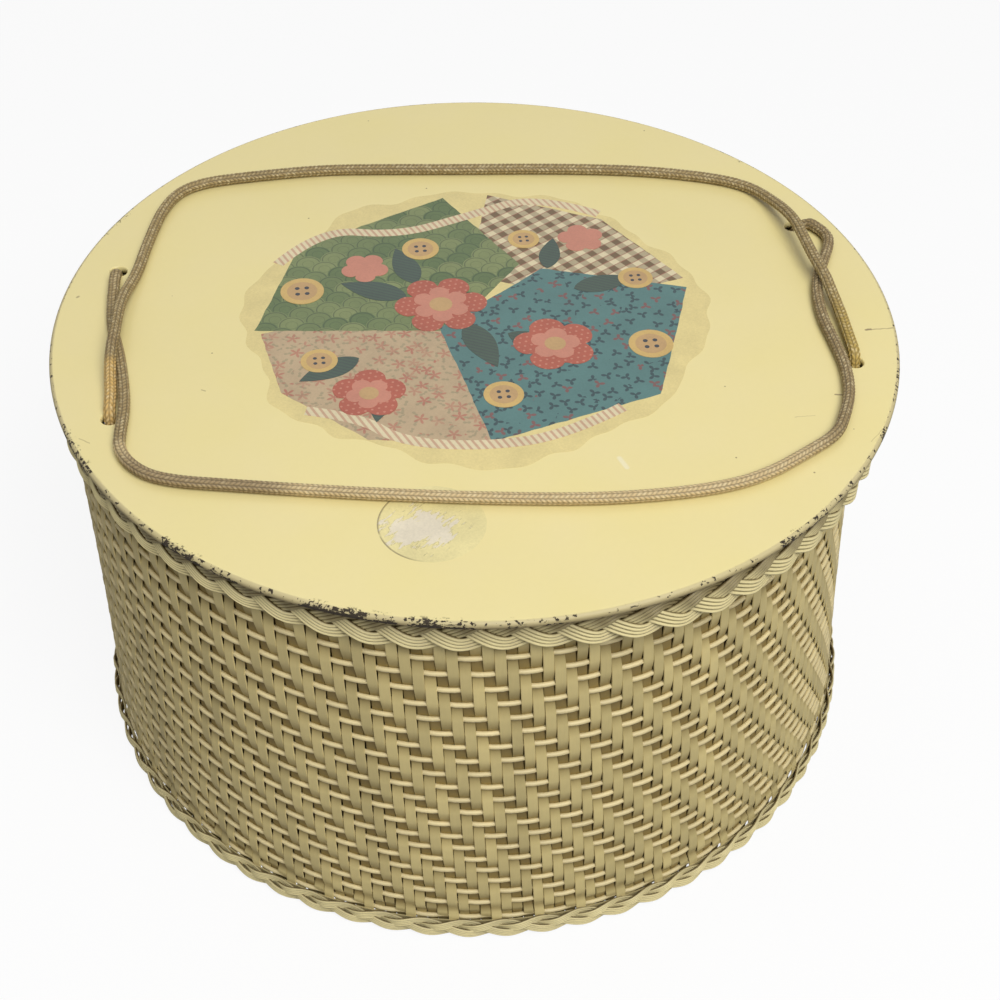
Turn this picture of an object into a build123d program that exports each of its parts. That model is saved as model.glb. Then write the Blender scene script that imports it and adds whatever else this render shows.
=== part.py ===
from build123d import *
import math
import os

# Round woven sewing basket with a loose round lid and two cord handles.
# Millimetres, +Z up. The origin is on the floor, under the centre of the lid; the front faces -Y.
# The basket has racked sideways with age: its rim stands a little to the left of its foot.
# The flat weavers, four columns to one diagonal, make the twill ridges round the wall.
# Both edges of the wall are covered by a flat three-strand braid.

# Lid, of hardboard
lid_radius = 152.4
lid_thickness = 3.2
lid_edge_radius = 1.5
lid_edge_steps = 1
cord_hole_radius = 3.2
cord_hole_inset = 16.0
cord_hole_angle = 18.25

# Basket wall
basket_height = 165.0
foot_radius = 149.4
waist_radius = 145.0
rim_radius = 142.8
skin_thickness = 1.0
rim_shift = -4.5
wall_levels = 3

# Twill ridges. Their rows lie closer together towards the foot.
twill_diagonals = 60
twill_levels_per_wall_level = 2
columns_per_diagonal = 4
first_row_height = 165.4
first_row_pitch = 7.53
row_pitch_change = 0.071
column_lean = 0.0108
plumb_height = 62.5
float_height = 0.45
float_columns = 3.0
float_face_columns = 2.3

# Braids
braid_strands = 3
braid_repeats = 22
braid_band_thickness = 0.9
rim_braid_height = 15.2
foot_braid_height = 8.4
braid_wave_depth = 1.5
braid_band_share = 0.28
braid_joint_angle = 0.4
stations_per_repeat = 6

# Base board
board_thickness = 4.8
board_height = 4.0

# Handle cords and what holds them
cord_radius = 2.0
cord_sides = 6
cord_lean_in_hole = 1.0
cord_exit_straight = 2.0
cord_exit_reach = 3.4
cord_exit_height = 5.0
knot_radius = 4.4
knot_length = 8.5
knot_chamfer = 2.2
knot_drop = 45.0
staple_drop = 33.0
staple_wire = 0.9
staple_bite = 0.8
leg_straight = 12.0
knot_neck = 3.5
arc_share = 0.45

# Clearances
seat_gap = 0.3
float_gap = 0.15
cut_margin = 1.0

wall_top = basket_height - cut_margin
cord_hole_x = (lid_radius - cord_hole_inset) * math.cos(math.radians(cord_hole_angle))
cord_hole_y = (lid_radius - cord_hole_inset) * math.sin(math.radians(cord_hole_angle))
lid_top = basket_height + lid_thickness
cord_lie = lid_top + cord_radius + seat_gap

# Routes of the two loops between their holes: X, Y and the height above where a cord lies on the lid.
# The rear cord comes out of the rear holes and lies forwards.
rear_route = [
    (-130.2, 32.0, 0.9),
    (-130.7, 19.0, 0.0),
    (-129.6, 1.0, 0.0),
    (-126.2, -20.0, 0.0),
    (-124.0, -38.0, 0.0),
    (-125.4, -53.0, 0.0),
    (-123.6, -67.2, 0.0),
    (-112.8, -77.6, 0.0),
    (-97.0, -82.2, 0.0),
    (-67.0, -88.5, 0.0),
    (-17.0, -98.3, 0.0),
    (38.0, -104.6, 0.0),
    (79.0, -101.0, 0.0),
    (100.5, -90.2, 0.0),
    (113.5, -77.6, 0.0),
    (121.0, -61.5, 0.0),
    (123.7, -41.0, 0.0),
    (124.2, -20.0, 0.0),
    (127.6, -1.0, 0.0),
    (132.5, 13.0, 0.0),
    (138.0, 24.0, 0.0),
    (140.4, 32.5, 0.0),
    (138.9, 40.2, 0.9),
]
# The front cord comes out of the front holes, lies backwards and crosses over the rear cord.
front_route = [
    (-129.7, -32.5, 1.2),
    (-129.9, -22.0, 3.6),
    (-129.0, -8.0, 7.8),
    (-127.6, 8.0, 7.8),
    (-125.6, 23.0, 3.2),
    (-123.0, 37.0, 0.1),
    (-120.6, 50.0, 0.0),
    (-117.4, 65.0, 0.0),
    (-113.2, 79.5, 0.0),
    (-105.3, 92.3, 0.0),
    (-89.5, 97.8, 0.0),
    (-58.0, 101.2, 0.0),
    (-8.0, 95.8, 0.0),
    (44.0, 90.6, 0.0),
    (78.0, 84.8, 0.0),
    (101.0, 77.6, 0.0),
    (116.6, 69.0, 0.4),
    (123.4, 56.2, 3.0),
    (126.4, 43.5, 8.4),
    (127.8, 30.0, 8.4),
    (128.2, 16.0, 7.8),
    (128.9, 2.0, 7.8),
    (130.4, -11.0, 3.2),
    (130.9, -22.0, 0.6),
    (130.2, -32.5, 1.2),
]


def level_height(level):
    """Height of one of the wall's levels, between which it is straight."""
    return wall_top * level / wall_levels


def wall_curve(z):
    """Radius at height z on the curve through foot, waist and rim."""
    t = z / basket_height
    return (
        foot_radius * (1 - t) * (1 - 2 * t)
        + waist_radius * 4 * t * (1 - t)
        + rim_radius * t * (2 * t - 1)
    )


def wall_radius(z):
    """Outer radius of the wall's skin at height z, on the straight line between its levels."""
    level = min(max(int(z / wall_top * wall_levels), 0), wall_levels - 1)
    below, above = level_height(level), level_height(level + 1)
    share = (z - below) / (above - below)
    return wall_curve(below) * (1 - share) + wall_curve(above) * share


def inner_radius(z):
    """Inner radius of the wall's skin at height z."""
    return wall_radius(z) - skin_thickness


def wall_centre(z):
    """X of the wall's axis at height z, which leans as the basket has racked."""
    return rim_shift * z / basket_height


def wall_point(radius, angle, z):
    """A point at that radius and angle (degrees from +X) about the leaning axis."""
    a = math.radians(angle)
    return Vector(wall_centre(z) + radius * math.cos(a), radius * math.sin(a), z)


def circle_stack(heights, radii):
    """A solid through circles of those radii, each centred on the leaning axis."""
    rings = [
        Plane(origin=(wall_centre(z), 0, z)) * Circle(radius)
        for z, radius in zip(heights, radii)
    ]
    return loft(rings, ruled=True)


def make_wall_skin():
    """The woven wall without its floats: an open tube with the flared outline."""
    heights = [level_height(level) for level in range(wall_levels + 1)]
    outer = circle_stack(heights, [wall_radius(z) for z in heights])
    hollow_heights = [-cut_margin] + heights[1:-1] + [wall_top + cut_margin]
    hollow = circle_stack(hollow_heights, [inner_radius(z) for z in hollow_heights])
    return outer - hollow


def twill_row(z):
    """How many rows, with a fraction, lie between height z and the wall's top row."""
    drop = first_row_height - z
    return (first_row_pitch - math.sqrt(first_row_pitch**2 - 2 * row_pitch_change * drop)) / row_pitch_change


def twill_angle(diagonal, z):
    """Angle of a diagonal's middle at height z: it steps one column to the left for each row up."""
    column_angle = 360 / (twill_diagonals * columns_per_diagonal)
    lean = (plumb_height - z) * column_lean
    return diagonal * 360 / twill_diagonals + (twill_row(z) - 0.5) * column_angle + lean


def make_wall_floats():
    """One flat-topped ridge for each diagonal of the twill, with a groove between each two."""
    low = foot_braid_height + seat_gap
    high = basket_height - rim_braid_height - 2 * seat_gap
    column_angle = 360 / (twill_diagonals * columns_per_diagonal)
    half_back = float_columns * column_angle / 2
    half_face = float_face_columns * column_angle / 2
    steps = wall_levels * twill_levels_per_wall_level
    between = [level_height(step / twill_levels_per_wall_level) for step in range(1, steps)]
    heights = [low] + [z for z in between if low < z < high] + [high]
    twist = max(twill_angle(0, below) - twill_angle(0, above) for below, above in zip(heights, heights[1:]))
    chord = math.cos(math.radians(twist / 2 + half_back))
    ridges = []
    for diagonal in range(twill_diagonals):
        sections = []
        for z in heights:
            middle = twill_angle(diagonal, z)
            back = wall_radius(z) / chord + float_gap
            front = back + float_height
            corners = [
                wall_point(back, middle - half_back, z),
                wall_point(front, middle - half_face, z),
                wall_point(front, middle + half_face, z),
                wall_point(back, middle + half_back, z),
            ]
            sections.append(Wire.make_polygon(corners, close=True))
        ridges.append(Solid.make_loft(sections, ruled=True))
    return Compound(children=ridges)


def braid_strand(low, height, strand):
    """One strand of a three-strand braid: flat behind, ridged in front, butted where its ends meet."""
    back_radius = max(wall_radius(low), wall_radius(low + height)) + seat_gap
    band_width = height * braid_band_share
    swing = (height - band_width) / 2 - seat_gap
    middle_z = low + height / 2
    middle_radius = back_radius + braid_wave_depth + braid_band_thickness / 2
    steps = braid_repeats * stations_per_repeat

    def centre(step):
        angle = braid_joint_angle / 2 + (360 - braid_joint_angle) * step / steps
        phase = math.radians(360 * step / stations_per_repeat + 30) + strand * 2 * math.pi / braid_strands
        depth = braid_wave_depth * math.sin(2 * phase) / math.sin(math.radians(60))
        return wall_point(middle_radius + depth, angle, middle_z) + Vector(0, 0, swing * math.sin(phase))

    band = make_face(
        Polyline(
            (-braid_band_thickness / 2, -band_width / 2),
            (braid_band_thickness / 2, 0),
            (-braid_band_thickness / 2, band_width / 2),
            close=True,
        )
    )
    sections = []
    for step in range(steps + 1):
        here = centre(step)
        along = (centre(step + 0.5) - centre(step - 0.5)).normalized()
        outward = Vector(here.X - wall_centre(middle_z), here.Y, 0).normalized()
        plane = Plane(origin=here, x_dir=outward, z_dir=along)
        sections.append(plane * band)
    return loft(sections, ruled=True)


def make_lid():
    """The hardboard disc with its rounded edge and the four cord holes."""
    turns = [math.radians(90 * step / lid_edge_steps) for step in range(lid_edge_steps + 1)]
    shoulder = lid_radius - lid_edge_radius
    upper = [
        (shoulder + lid_edge_radius * math.cos(a), lid_top - lid_edge_radius * (1 - math.sin(a)))
        for a in turns
    ]
    lower = [(x, lid_top + basket_height - z) for x, z in reversed(upper)]
    profile = Plane.XZ * make_face(Polyline((0, basket_height), *lower, *upper, (0, lid_top), close=True))
    lid = revolve(profile, axis=Axis.Z)
    for x in (-cord_hole_x, cord_hole_x):
        for y in (-cord_hole_y, cord_hole_y):
            lid -= Pos(x, y, basket_height + lid_thickness / 2) * Cylinder(
                cord_hole_radius, lid_thickness + 2 * cut_margin
            )
    return lid


def make_base_board():
    """The disc inside the foot that the lower ends of the wall are fixed round."""
    radius = min(inner_radius(board_height), inner_radius(board_height + board_thickness)) - seat_gap
    middle = board_height + board_thickness / 2
    return Pos(wall_centre(middle), 0, middle) * Cylinder(radius, board_thickness)


def hole_angle(x, y):
    """Angle of a cord hole about the wall's axis at the rim, in degrees."""
    return math.degrees(math.atan2(y, x - wall_centre(basket_height)))


def cord_in_hole(x, y):
    """Where the cord passes its hole: pulled from the middle towards the wall's axis."""
    a = math.radians(hole_angle(x, y))
    return x - cord_lean_in_hole * math.cos(a), y - cord_lean_in_hole * math.sin(a)


def cord_line(points, name):
    """Straight runs joined by tangent arcs, each as large as its two runs allow."""
    points = [Vector(*p) for p in points]
    radii = []
    for before, here, after in zip(points, points[1:], points[2:]):
        run = min((here - before).length, (after - here).length)
        turn = math.radians((here - before).get_angle(after - here))
        radii.append(arc_share * run / math.tan(turn / 2))
    line = FilletPolyline(*points, radius=radii)
    print(f"{name}: length {line.length:.1f}, arc radii", [round(r, 1) for r in radii])
    return line


def cord_tube(points, name):
    """A plain cord along such a line."""
    line = cord_line(points, name)
    section = Plane(line @ 0, z_dir=line % 0) * RegularPolygon(cord_radius, cord_sides)
    tube = sweep(section, path=line)
    expected = section.area * line.length
    print(f"{name}: volume {tube.volume:.0f} of {expected:.0f}")
    return tube


def hole_exit(x, y, towards):
    """How the cord leaves a hole: straight up from the lid's underside, then bent over towards a point."""
    hole_x, hole_y = cord_in_hole(x, y)
    way = Vector(towards[0] - hole_x, towards[1] - hole_y).normalized() * cord_exit_reach
    return [
        (hole_x, hole_y, basket_height),
        (hole_x, hole_y, lid_top + cord_exit_straight),
        (hole_x + way.X, hole_y + way.Y, lid_top + cord_exit_height),
    ]


def make_handle_cord(route, side, name):
    """One loop, up out of its left hole, along its route and down into its right hole."""
    points = hole_exit(-cord_hole_x, side * cord_hole_y, route[0])
    points += [(x, y, cord_lie + lift) for x, y, lift in route]
    points += reversed(hole_exit(cord_hole_x, side * cord_hole_y, route[-1]))
    return cord_tube(points, name)


def on_wall(x, y, z, stand_off):
    """The point at height z that far inside the wall's inner face, level with a cord hole."""
    return wall_point(inner_radius(z) - stand_off, hole_angle(x, y), z)


def knot_centre(x, y):
    """Middle of the knot that ends the cord under a hole."""
    return on_wall(x, y, basket_height - knot_drop, knot_radius + seat_gap)


def make_leg(x, y, name):
    """The cord from the lid's underside down to its knot, inside the wall."""
    hug = cord_radius + seat_gap
    staple_z = basket_height - staple_drop
    hole_x, hole_y = cord_in_hole(x, y)
    knot_top = knot_centre(x, y) + Vector(0, 0, knot_length / 2)
    neck = knot_top + Vector(0, 0, knot_neck)
    points = [
        (hole_x, hole_y, basket_height),
        (hole_x, hole_y, basket_height - leg_straight),
        tuple(on_wall(x, y, staple_z, hug)),
        tuple(neck),
        tuple(knot_top),
    ]
    return cord_tube(points, name)


def make_knot(x, y):
    """The knot, as a chamfered lump."""
    lump = extrude(RegularPolygon(knot_radius, cord_sides), knot_length / 2, both=True)
    lump = chamfer(lump.faces().filter_by(Axis.Z).edges(), knot_chamfer)
    return Location(knot_centre(x, y)) * lump


def make_staple(x, y):
    """A flat wire staple over the cord, its two legs driven into the wall."""
    z = basket_height - staple_drop
    half_span = cord_radius + seat_gap + staple_wire / 2
    inward = 2 * cord_radius + 3 * seat_gap
    leg_length = inward + staple_bite
    plane = Plane(
        origin=on_wall(x, y, z, inward),
        x_dir=(math.cos(math.radians(hole_angle(x, y))), math.sin(math.radians(hole_angle(x, y))), 0),
        z_dir=(0, 0, 1),
    )
    crown = Pos(-staple_wire / 2, 0, 0) * Box(staple_wire, 2 * half_span + staple_wire, staple_wire)
    legs = [
        Pos(leg_length / 2, side * half_span, 0) * Box(leg_length, staple_wire, staple_wire)
        for side in (-1, 1)
    ]
    return plane * (crown + legs[0] + legs[1])


def make_braid(name, low, height):
    """The three strands of one braid, as nodes."""
    return {
        f"{name}_{strand + 1}": braid_strand(low, height, strand)
        for strand in range(braid_strands)
    }


def build():
    """Every node of the basket by name."""
    holes = [(x, y) for y in (-cord_hole_y, cord_hole_y) for x in (-cord_hole_x, cord_hole_x)]
    places = ["front_left", "front_right", "rear_left", "rear_right"]
    staples = [make_staple(x, y) for x, y in holes]
    nodes = {"wall_weave": make_wall_skin(), "wall_floats": make_wall_floats()}
    nodes |= make_braid("rim_braid", basket_height - rim_braid_height, rim_braid_height - seat_gap)
    nodes |= make_braid("foot_braid", 0, foot_braid_height)
    nodes["base_board"] = make_base_board()
    nodes["lid_panel"] = make_lid()
    nodes["handle_cord_rear"] = make_handle_cord(rear_route, 1, "handle_cord_rear")
    nodes["handle_cord_front"] = make_handle_cord(front_route, -1, "handle_cord_front")
    for place, (x, y) in zip(places, holes):
        nodes[f"cord_leg_{place}"] = make_leg(x, y, f"cord_leg_{place}")
    nodes["cord_knots"] = Compound(children=[make_knot(x, y) for x, y in holes])
    nodes["cord_staples"] = Compound(children=staples)
    return nodes


os.makedirs("parts", exist_ok=True)
for node, shape in build().items():
    export_step(shape, f"parts/{node}.step")
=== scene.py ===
"""A round woven sewing basket with a painted board lid and two braided cord loops.

Each part of the basket is a class that holds its sizes in metres and builds its own meshes.
The wall's strips and strands and the plaited edges are grown by Geometry Nodes.
"""

import logging
import math
import random
from dataclasses import dataclass, field
from enum import Enum
from typing import Any, Iterable

import bmesh
import bpy
from mathutils import Matrix, Vector


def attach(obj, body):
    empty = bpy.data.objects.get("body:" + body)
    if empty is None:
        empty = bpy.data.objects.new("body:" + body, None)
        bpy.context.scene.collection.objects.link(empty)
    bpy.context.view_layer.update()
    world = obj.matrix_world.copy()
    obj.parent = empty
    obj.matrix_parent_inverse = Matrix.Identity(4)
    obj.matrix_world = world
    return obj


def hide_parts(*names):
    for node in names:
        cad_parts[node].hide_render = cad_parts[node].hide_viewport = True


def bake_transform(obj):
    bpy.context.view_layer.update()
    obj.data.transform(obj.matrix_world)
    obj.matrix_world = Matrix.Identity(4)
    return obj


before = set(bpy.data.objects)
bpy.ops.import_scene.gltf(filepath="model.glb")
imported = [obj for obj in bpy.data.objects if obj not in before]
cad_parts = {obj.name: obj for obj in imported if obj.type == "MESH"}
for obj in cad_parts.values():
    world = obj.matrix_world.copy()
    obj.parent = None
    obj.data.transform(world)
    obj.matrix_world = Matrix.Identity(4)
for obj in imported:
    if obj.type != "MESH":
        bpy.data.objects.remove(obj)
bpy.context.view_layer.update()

log = logging.getLogger("sewing_basket")

Colour = tuple[float, float, float]
Point = tuple[float, float, float]
Span = tuple[float, float]
FlatPoint = tuple[float, float]
FlatLine = tuple[float, float, float, float]
Outline = list[FlatPoint]

LID_RADIUS = 0.1524
LID_THICKNESS = 0.0032
LID_UNDERSIDE = 0.165
LID_TOP = LID_UNDERSIDE + LID_THICKNESS
FULL_TURN = 2 * math.pi


class Body(Enum):
    """The four bodies that pieces ride on."""

    BASKET = "basket"
    LID = "lid"
    REAR_HANDLE = "handle_rear"
    FRONT_HANDLE = "handle_front"


class Side(Enum):
    """Which pair of lid holes a cord belongs to, as the sign of Y."""

    REAR = 1
    FRONT = -1


# ---------------------------------------------------------------- nodes


@dataclass(frozen=True)
class Field:
    """A number or vector that runs through a node tree, with ordinary arithmetic."""

    bench: "Bench"
    socket: bpy.types.NodeSocket

    def __add__(self, other: "Field | float") -> "Field":
        """Sum."""
        return self.bench.maths("ADD", self, other)

    __radd__ = __add__

    def __sub__(self, other: "Field | float") -> "Field":
        """Difference."""
        return self.bench.maths("SUBTRACT", self, other)

    def __rsub__(self, other: float) -> "Field":
        """Difference from a number."""
        return self.bench.maths("SUBTRACT", other, self)

    def __mul__(self, other: "Field | float") -> "Field":
        """Product."""
        return self.bench.maths("MULTIPLY", self, other)

    __rmul__ = __mul__

    def __truediv__(self, other: "Field | float") -> "Field":
        """Quotient."""
        return self.bench.maths("DIVIDE", self, other)

    def sine(self) -> "Field":
        """Sine of an angle in radians."""
        return self.bench.maths("SINE", self)

    def cosine(self) -> "Field":
        """Cosine of an angle in radians."""
        return self.bench.maths("COSINE", self)

    def within(self, low: float, high: float, softness: float = 0.0) -> "Field":
        """The value held between two limits, which may round it off over a width."""
        top = self.bench.maths("SMOOTH_MIN", self, high, softness)
        return self.bench.maths("SMOOTH_MAX", top, low, softness)

    def between(self, low: float, high: float, softness: float) -> "Field":
        """One between two values and nothing outside them, with soft edges of that width."""
        half = softness / 2
        return self.ramp(low - half, low + half) * (1.0 - self.ramp(high - half, high + half))

    def ramp(self, start: float, end: float) -> "Field":
        """How far the value has gone from start to end, from 0 to 1, eased at both."""
        inputs = {"Value": self, "From Min": start, "From Max": end}
        return self.bench.result("ShaderNodeMapRange", inputs, interpolation_type="SMOOTHSTEP")


class Bench:
    """A node tree under construction, shader or geometry."""

    def __init__(self, tree: bpy.types.NodeTree) -> None:
        """Take an empty tree."""
        self.tree = tree

    def add(self, kind: str, inputs: dict[int | str, Any] | None = None, **settings: Any) -> bpy.types.Node:
        """Add one node.

        Args:
            kind: Blender's name for the node type.
            inputs: What its inputs get, by name or number: fields, sockets or plain values.
            settings: Properties to set on it.

        Returns:
            The node.
        """
        node = self.tree.nodes.new(kind)
        for name, value in settings.items():
            setattr(node, name, value)
        for name, source in (inputs or {}).items():
            self.feed(node.inputs[name], source)
        return node

    def result(
        self, kind: str, inputs: dict[int | str, Any] | None = None, output: int | str = 0, **settings: Any
    ) -> Field:
        """One output, by name or number, of a node added in the same way."""
        return Field(self, self.add(kind, inputs, **settings).outputs[output])

    def feed(self, target: bpy.types.NodeSocket, source: Any) -> None:
        """Give an input socket a field, a socket or a plain value.

        Args:
            target: The input socket.
            source: What it gets.
        """
        if isinstance(source, Field):
            source = source.socket
        if isinstance(source, bpy.types.NodeSocket):
            self.tree.links.new(source, target)
        else:
            target.default_value = source

    def maths(self, operation: str, *values: Any) -> Field:
        """The result of one of Blender's Math operations on up to three fields or numbers."""
        return self.result("ShaderNodeMath", dict(enumerate(values)), operation=operation)

    def vector(self, x: Any, y: Any, z: Any) -> Field:
        """A vector from its three parts."""
        return self.result("ShaderNodeCombineXYZ", {0: x, 1: y, 2: z})

    def length(self, x: Field, y: Field) -> Field:
        """Length of a flat vector."""
        return self.maths("SQRT", x * x + y * y)

    def greater(self, first: Any, second: Any) -> Field:
        """The greater of two values."""
        return self.maths("MAXIMUM", first, second)

    def parts(self, vector: Any) -> tuple[Field, Field, Field]:
        """The three parts of a vector."""
        node = self.add("ShaderNodeSeparateXYZ", {0: vector})
        return tuple(Field(self, out) for out in node.outputs)

    def noise(self, where: Any, scale: float, detail: float = 2.0, rough: float = 0.5) -> Field:
        """Noise between 0 and 1 over a vector: its cells per unit, octaves, and the finer ones' strength."""
        inputs = {"Vector": where, "Scale": scale, "Detail": detail, "Roughness": rough}
        return self.result("ShaderNodeTexNoise", inputs)


class ShaderBench(Bench):
    """The nodes of one material round a Principled shader."""

    def __init__(self, name: str) -> None:
        """Start a material.

        Args:
            name: The material's name.
        """
        self.material = bpy.data.materials.new(name)
        self.material.use_nodes = True
        super().__init__(self.material.node_tree)
        self.shader = self.tree.nodes["Principled BSDF"]
        self.place = self.add("ShaderNodeTexCoord").outputs["Object"]

    def attribute(self, name: str) -> Field:
        """A number stored on the mesh."""
        return self.result("ShaderNodeAttribute", output="Fac", attribute_name=name)

    def uv(self) -> tuple[Field, Field, Field]:
        """The piece's own lengthwise and crosswise coordinates."""
        return self.parts(self.result("ShaderNodeUVMap", uv_map="UVMap"))

    def stretched(self, x: float, y: float, z: float) -> Field:
        """Object coordinates scaled by a factor on each axis."""
        return self.result("ShaderNodeMapping", {"Vector": self.place, "Scale": (x, y, z)})

    def cells(self, where: Any, scale: float) -> bpy.types.Node:
        """A texture of scattered cells over a vector, that many to a unit."""
        return self.add("ShaderNodeTexVoronoi", {"Vector": where, "Scale": scale})

    def mix(self, share: Any, first: Any, second: Any, blend: str = "MIX") -> Field:
        """Mix two colours.

        Args:
            share: How much of the second, 0 to 1.
            first: Colour or socket.
            second: Colour or socket.
            blend: Blender's name for the way they mix.

        Returns:
            The mixed colour.
        """
        first, second = ((*one, 1.0) if isinstance(one, tuple) else one for one in (first, second))
        inputs = {0: share, 6: first, 7: second}
        return self.result("ShaderNodeMix", inputs, 2, data_type="RGBA", blend_type=blend)

    def toned(self, colour: Any, shade: Any, blue: Any = 1.0) -> Field:
        """A colour made lighter or darker by a shade, its blue by a further factor."""
        return self.mix(1.0, colour, self.vector(shade, shade, shade * blue), "MULTIPLY")

    def finish(
        self,
        colour: Any,
        roughness: Any,
        height: Field | None = None,
        relief: float = 0.0,
        **constants: float,
    ) -> bpy.types.Material:
        """Connect the shader.

        Args:
            colour: Base colour, a field or a plain colour.
            roughness: Roughness, a field or a number.
            height: Field that the bump follows, if any.
            relief: The bump's depth in metres.
            constants: Other inputs of the shader, by name with underscores.

        Returns:
            The material.
        """
        inputs = {name.replace("_", " "): number for name, number in constants.items()}
        inputs["Base Color"] = (*colour, 1.0) if isinstance(colour, tuple) else colour
        inputs["Roughness"] = roughness
        if height is not None:
            bump = {"Strength": 1.0, "Distance": relief, "Height": height}
            inputs["Normal"] = self.result("ShaderNodeBump", bump)
        for name, source in inputs.items():
            self.feed(self.shader.inputs[name], source)
        return self.material


class GeometryBench(Bench):
    """A Geometry Nodes tree with named inputs, which grows a plain mesh."""

    crease: float = math.radians(48)

    def __init__(self, name: str, inputs: dict[str, Any]) -> None:
        """Start a tree.

        Args:
            name: What the tree makes.
            inputs: Its named inputs with their values: numbers or objects.
        """
        super().__init__(bpy.data.node_groups.new(name, "GeometryNodeTree"))
        self.values = inputs
        kinds = {int: "NodeSocketInt", float: "NodeSocketFloat", bpy.types.Object: "NodeSocketObject"}
        sockets = self.tree.interface
        for label, value in inputs.items():
            sockets.new_socket(name=label, in_out="INPUT", socket_type=kinds[type(value)])
        sockets.new_socket(name="Geometry", in_out="OUTPUT", socket_type="NodeSocketGeometry")
        self.given = self.add("NodeGroupInput")

    def input(self, label: str) -> Field:
        """One of the tree's named inputs."""
        return Field(self, self.given.outputs[label])

    def position(self) -> tuple[Field, Field, Field]:
        """The parts of each point's position."""
        return self.parts(self.result("GeometryNodeInputPosition"))

    def stored(self, name: str) -> Field:
        """A number stored under a name."""
        return self.result("GeometryNodeInputNamedAttribute", {"Name": name}, "Attribute", data_type="FLOAT")

    def store(self, geometry: Any, name: str, value: Any, domain: str = "POINT") -> Field:
        """The geometry with a number stored on it, under a name and for each point or the like."""
        inputs = {"Geometry": geometry, "Name": name, "Value": value}
        return self.result("GeometryNodeStoreNamedAttribute", inputs, data_type="FLOAT", domain=domain)

    def chance(self, identity: Any, low: float, high: float, seed: int) -> Field:
        """A number drawn once for each identity, the same on every run.

        Args:
            identity: What it is drawn for.
            low: Least value.
            high: Greatest value.
            seed: Which draw.

        Returns:
            The number.
        """
        node = self.add("FunctionNodeRandomValue", {"ID": identity, "Seed": seed}, data_type="FLOAT")
        limits = [socket for socket in node.inputs if socket.type == "VALUE"]
        for limit, value in zip(limits, (low, high)):
            self.feed(limit, value)
        return Field(self, next(socket for socket in node.outputs if socket.type == "VALUE"))

    def copies(self, unit: Any, count: Any, label: str) -> Field:
        """Real copies of a unit, each with its number stored.

        Args:
            unit: Geometry of one copy.
            count: How many.
            label: Name that each copy's number is stored under.

        Returns:
            The copies' geometry.
        """
        line = self.result("GeometryNodeMeshLine", {"Count": count, "Offset": (0.0, 0.0, 0.0)})
        placed = self.result("GeometryNodeInstanceOnPoints", {"Points": line, "Instance": unit})
        marked = self.store(placed, label, self.result("GeometryNodeInputIndex"), "INSTANCE")
        return self.result("GeometryNodeRealizeInstances", {0: marked})

    def moved(self, geometry: Any, position: Field) -> Field:
        """The geometry with its points put elsewhere."""
        return self.result("GeometryNodeSetPosition", {"Geometry": geometry, "Position": position})

    def grow(self, name: str, geometry: Any, material: bpy.types.Material) -> bpy.types.Object:
        """End the tree, evaluate it and keep its result as a plain mesh.

        Args:
            name: The piece's name.
            geometry: Geometry socket of the result.
            material: The piece's material.

        Returns:
            The piece.
        """
        real = self.result("GeometryNodeRealizeInstances", {0: geometry})
        smooth = self.result("GeometryNodeSetShadeSmooth", {"Geometry": real}, domain="FACE")
        bend = self.result("GeometryNodeInputMeshEdgeAngle", output="Unsigned Angle")
        sharp = self.maths("GREATER_THAN", bend, self.crease)
        creases = {"Geometry": smooth, "Selection": sharp, "Shade Smooth": False}
        creased = self.result("GeometryNodeSetShadeSmooth", creases, domain="EDGE")
        dressed = self.result("GeometryNodeSetMaterial", {"Geometry": creased, "Material": material})
        self.add("NodeGroupOutput", {0: dressed})
        host = bpy.data.objects.new(name + "_host", bpy.data.meshes.new(name + "_host"))
        bpy.context.scene.collection.objects.link(host)
        modifier = host.modifiers.new("grow", "NODES")
        modifier.node_group = self.tree
        for item in self.tree.interface.items_tree:
            if item.in_out == "INPUT":
                modifier[item.identifier] = self.values[item.name]
        mesh = bpy.data.meshes.new_from_object(
            host.evaluated_get(bpy.context.evaluated_depsgraph_get()),
            preserve_all_data_layers=True,
            depsgraph=bpy.context.evaluated_depsgraph_get(),
        )
        mesh.name = name
        host.modifiers.remove(modifier)
        bpy.data.objects.remove(host)
        bpy.data.node_groups.remove(self.tree)
        return show(name, mesh)


# ---------------------------------------------------------------- pieces


def show(name: str, data: bpy.types.ID) -> bpy.types.Object:
    """Put a mesh, lamp or camera in the scene at the origin.

    Args:
        name: The object's name.
        data: Its mesh, lamp or camera.

    Returns:
        The object.
    """
    piece = bpy.data.objects.new(name, data)
    bpy.context.scene.collection.objects.link(piece)
    return piece


def from_bmesh(name: str, build: bmesh.types.BMesh, material: bpy.types.Material) -> bpy.types.Object:
    """Turn a finished bmesh into a piece with outward normals.

    Args:
        name: The piece's name.
        build: The bmesh, which is freed.
        material: Its material.

    Returns:
        The piece.
    """
    bmesh.ops.recalc_face_normals(build, faces=build.faces)
    mesh = bpy.data.meshes.new(name)
    build.to_mesh(mesh)
    build.free()
    mesh.materials.append(material)
    return show(name, mesh)


def skirt(build: bmesh.types.BMesh, first: list, second: list, smooth: bool = True) -> list:
    """Join two closed rings of equal count with a belt of faces.

    Args:
        build: The bmesh.
        first: The first ring's vertices.
        second: The second ring's vertices.
        smooth: Whether the faces are shaded smooth.

    Returns:
        The faces, in order round the ring.
    """
    faces = []
    for i in range(len(first)):
        j = (i + 1) % len(first)
        faces.append(build.faces.new((first[i], first[j], second[j], second[i])))
        faces[-1].smooth = smooth
    return faces


def dress(node: str, material: bpy.types.Material) -> None:
    """Give a CAD node's object a material."""
    for slot in bpy.data.objects[node].material_slots:
        slot.material = material


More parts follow.
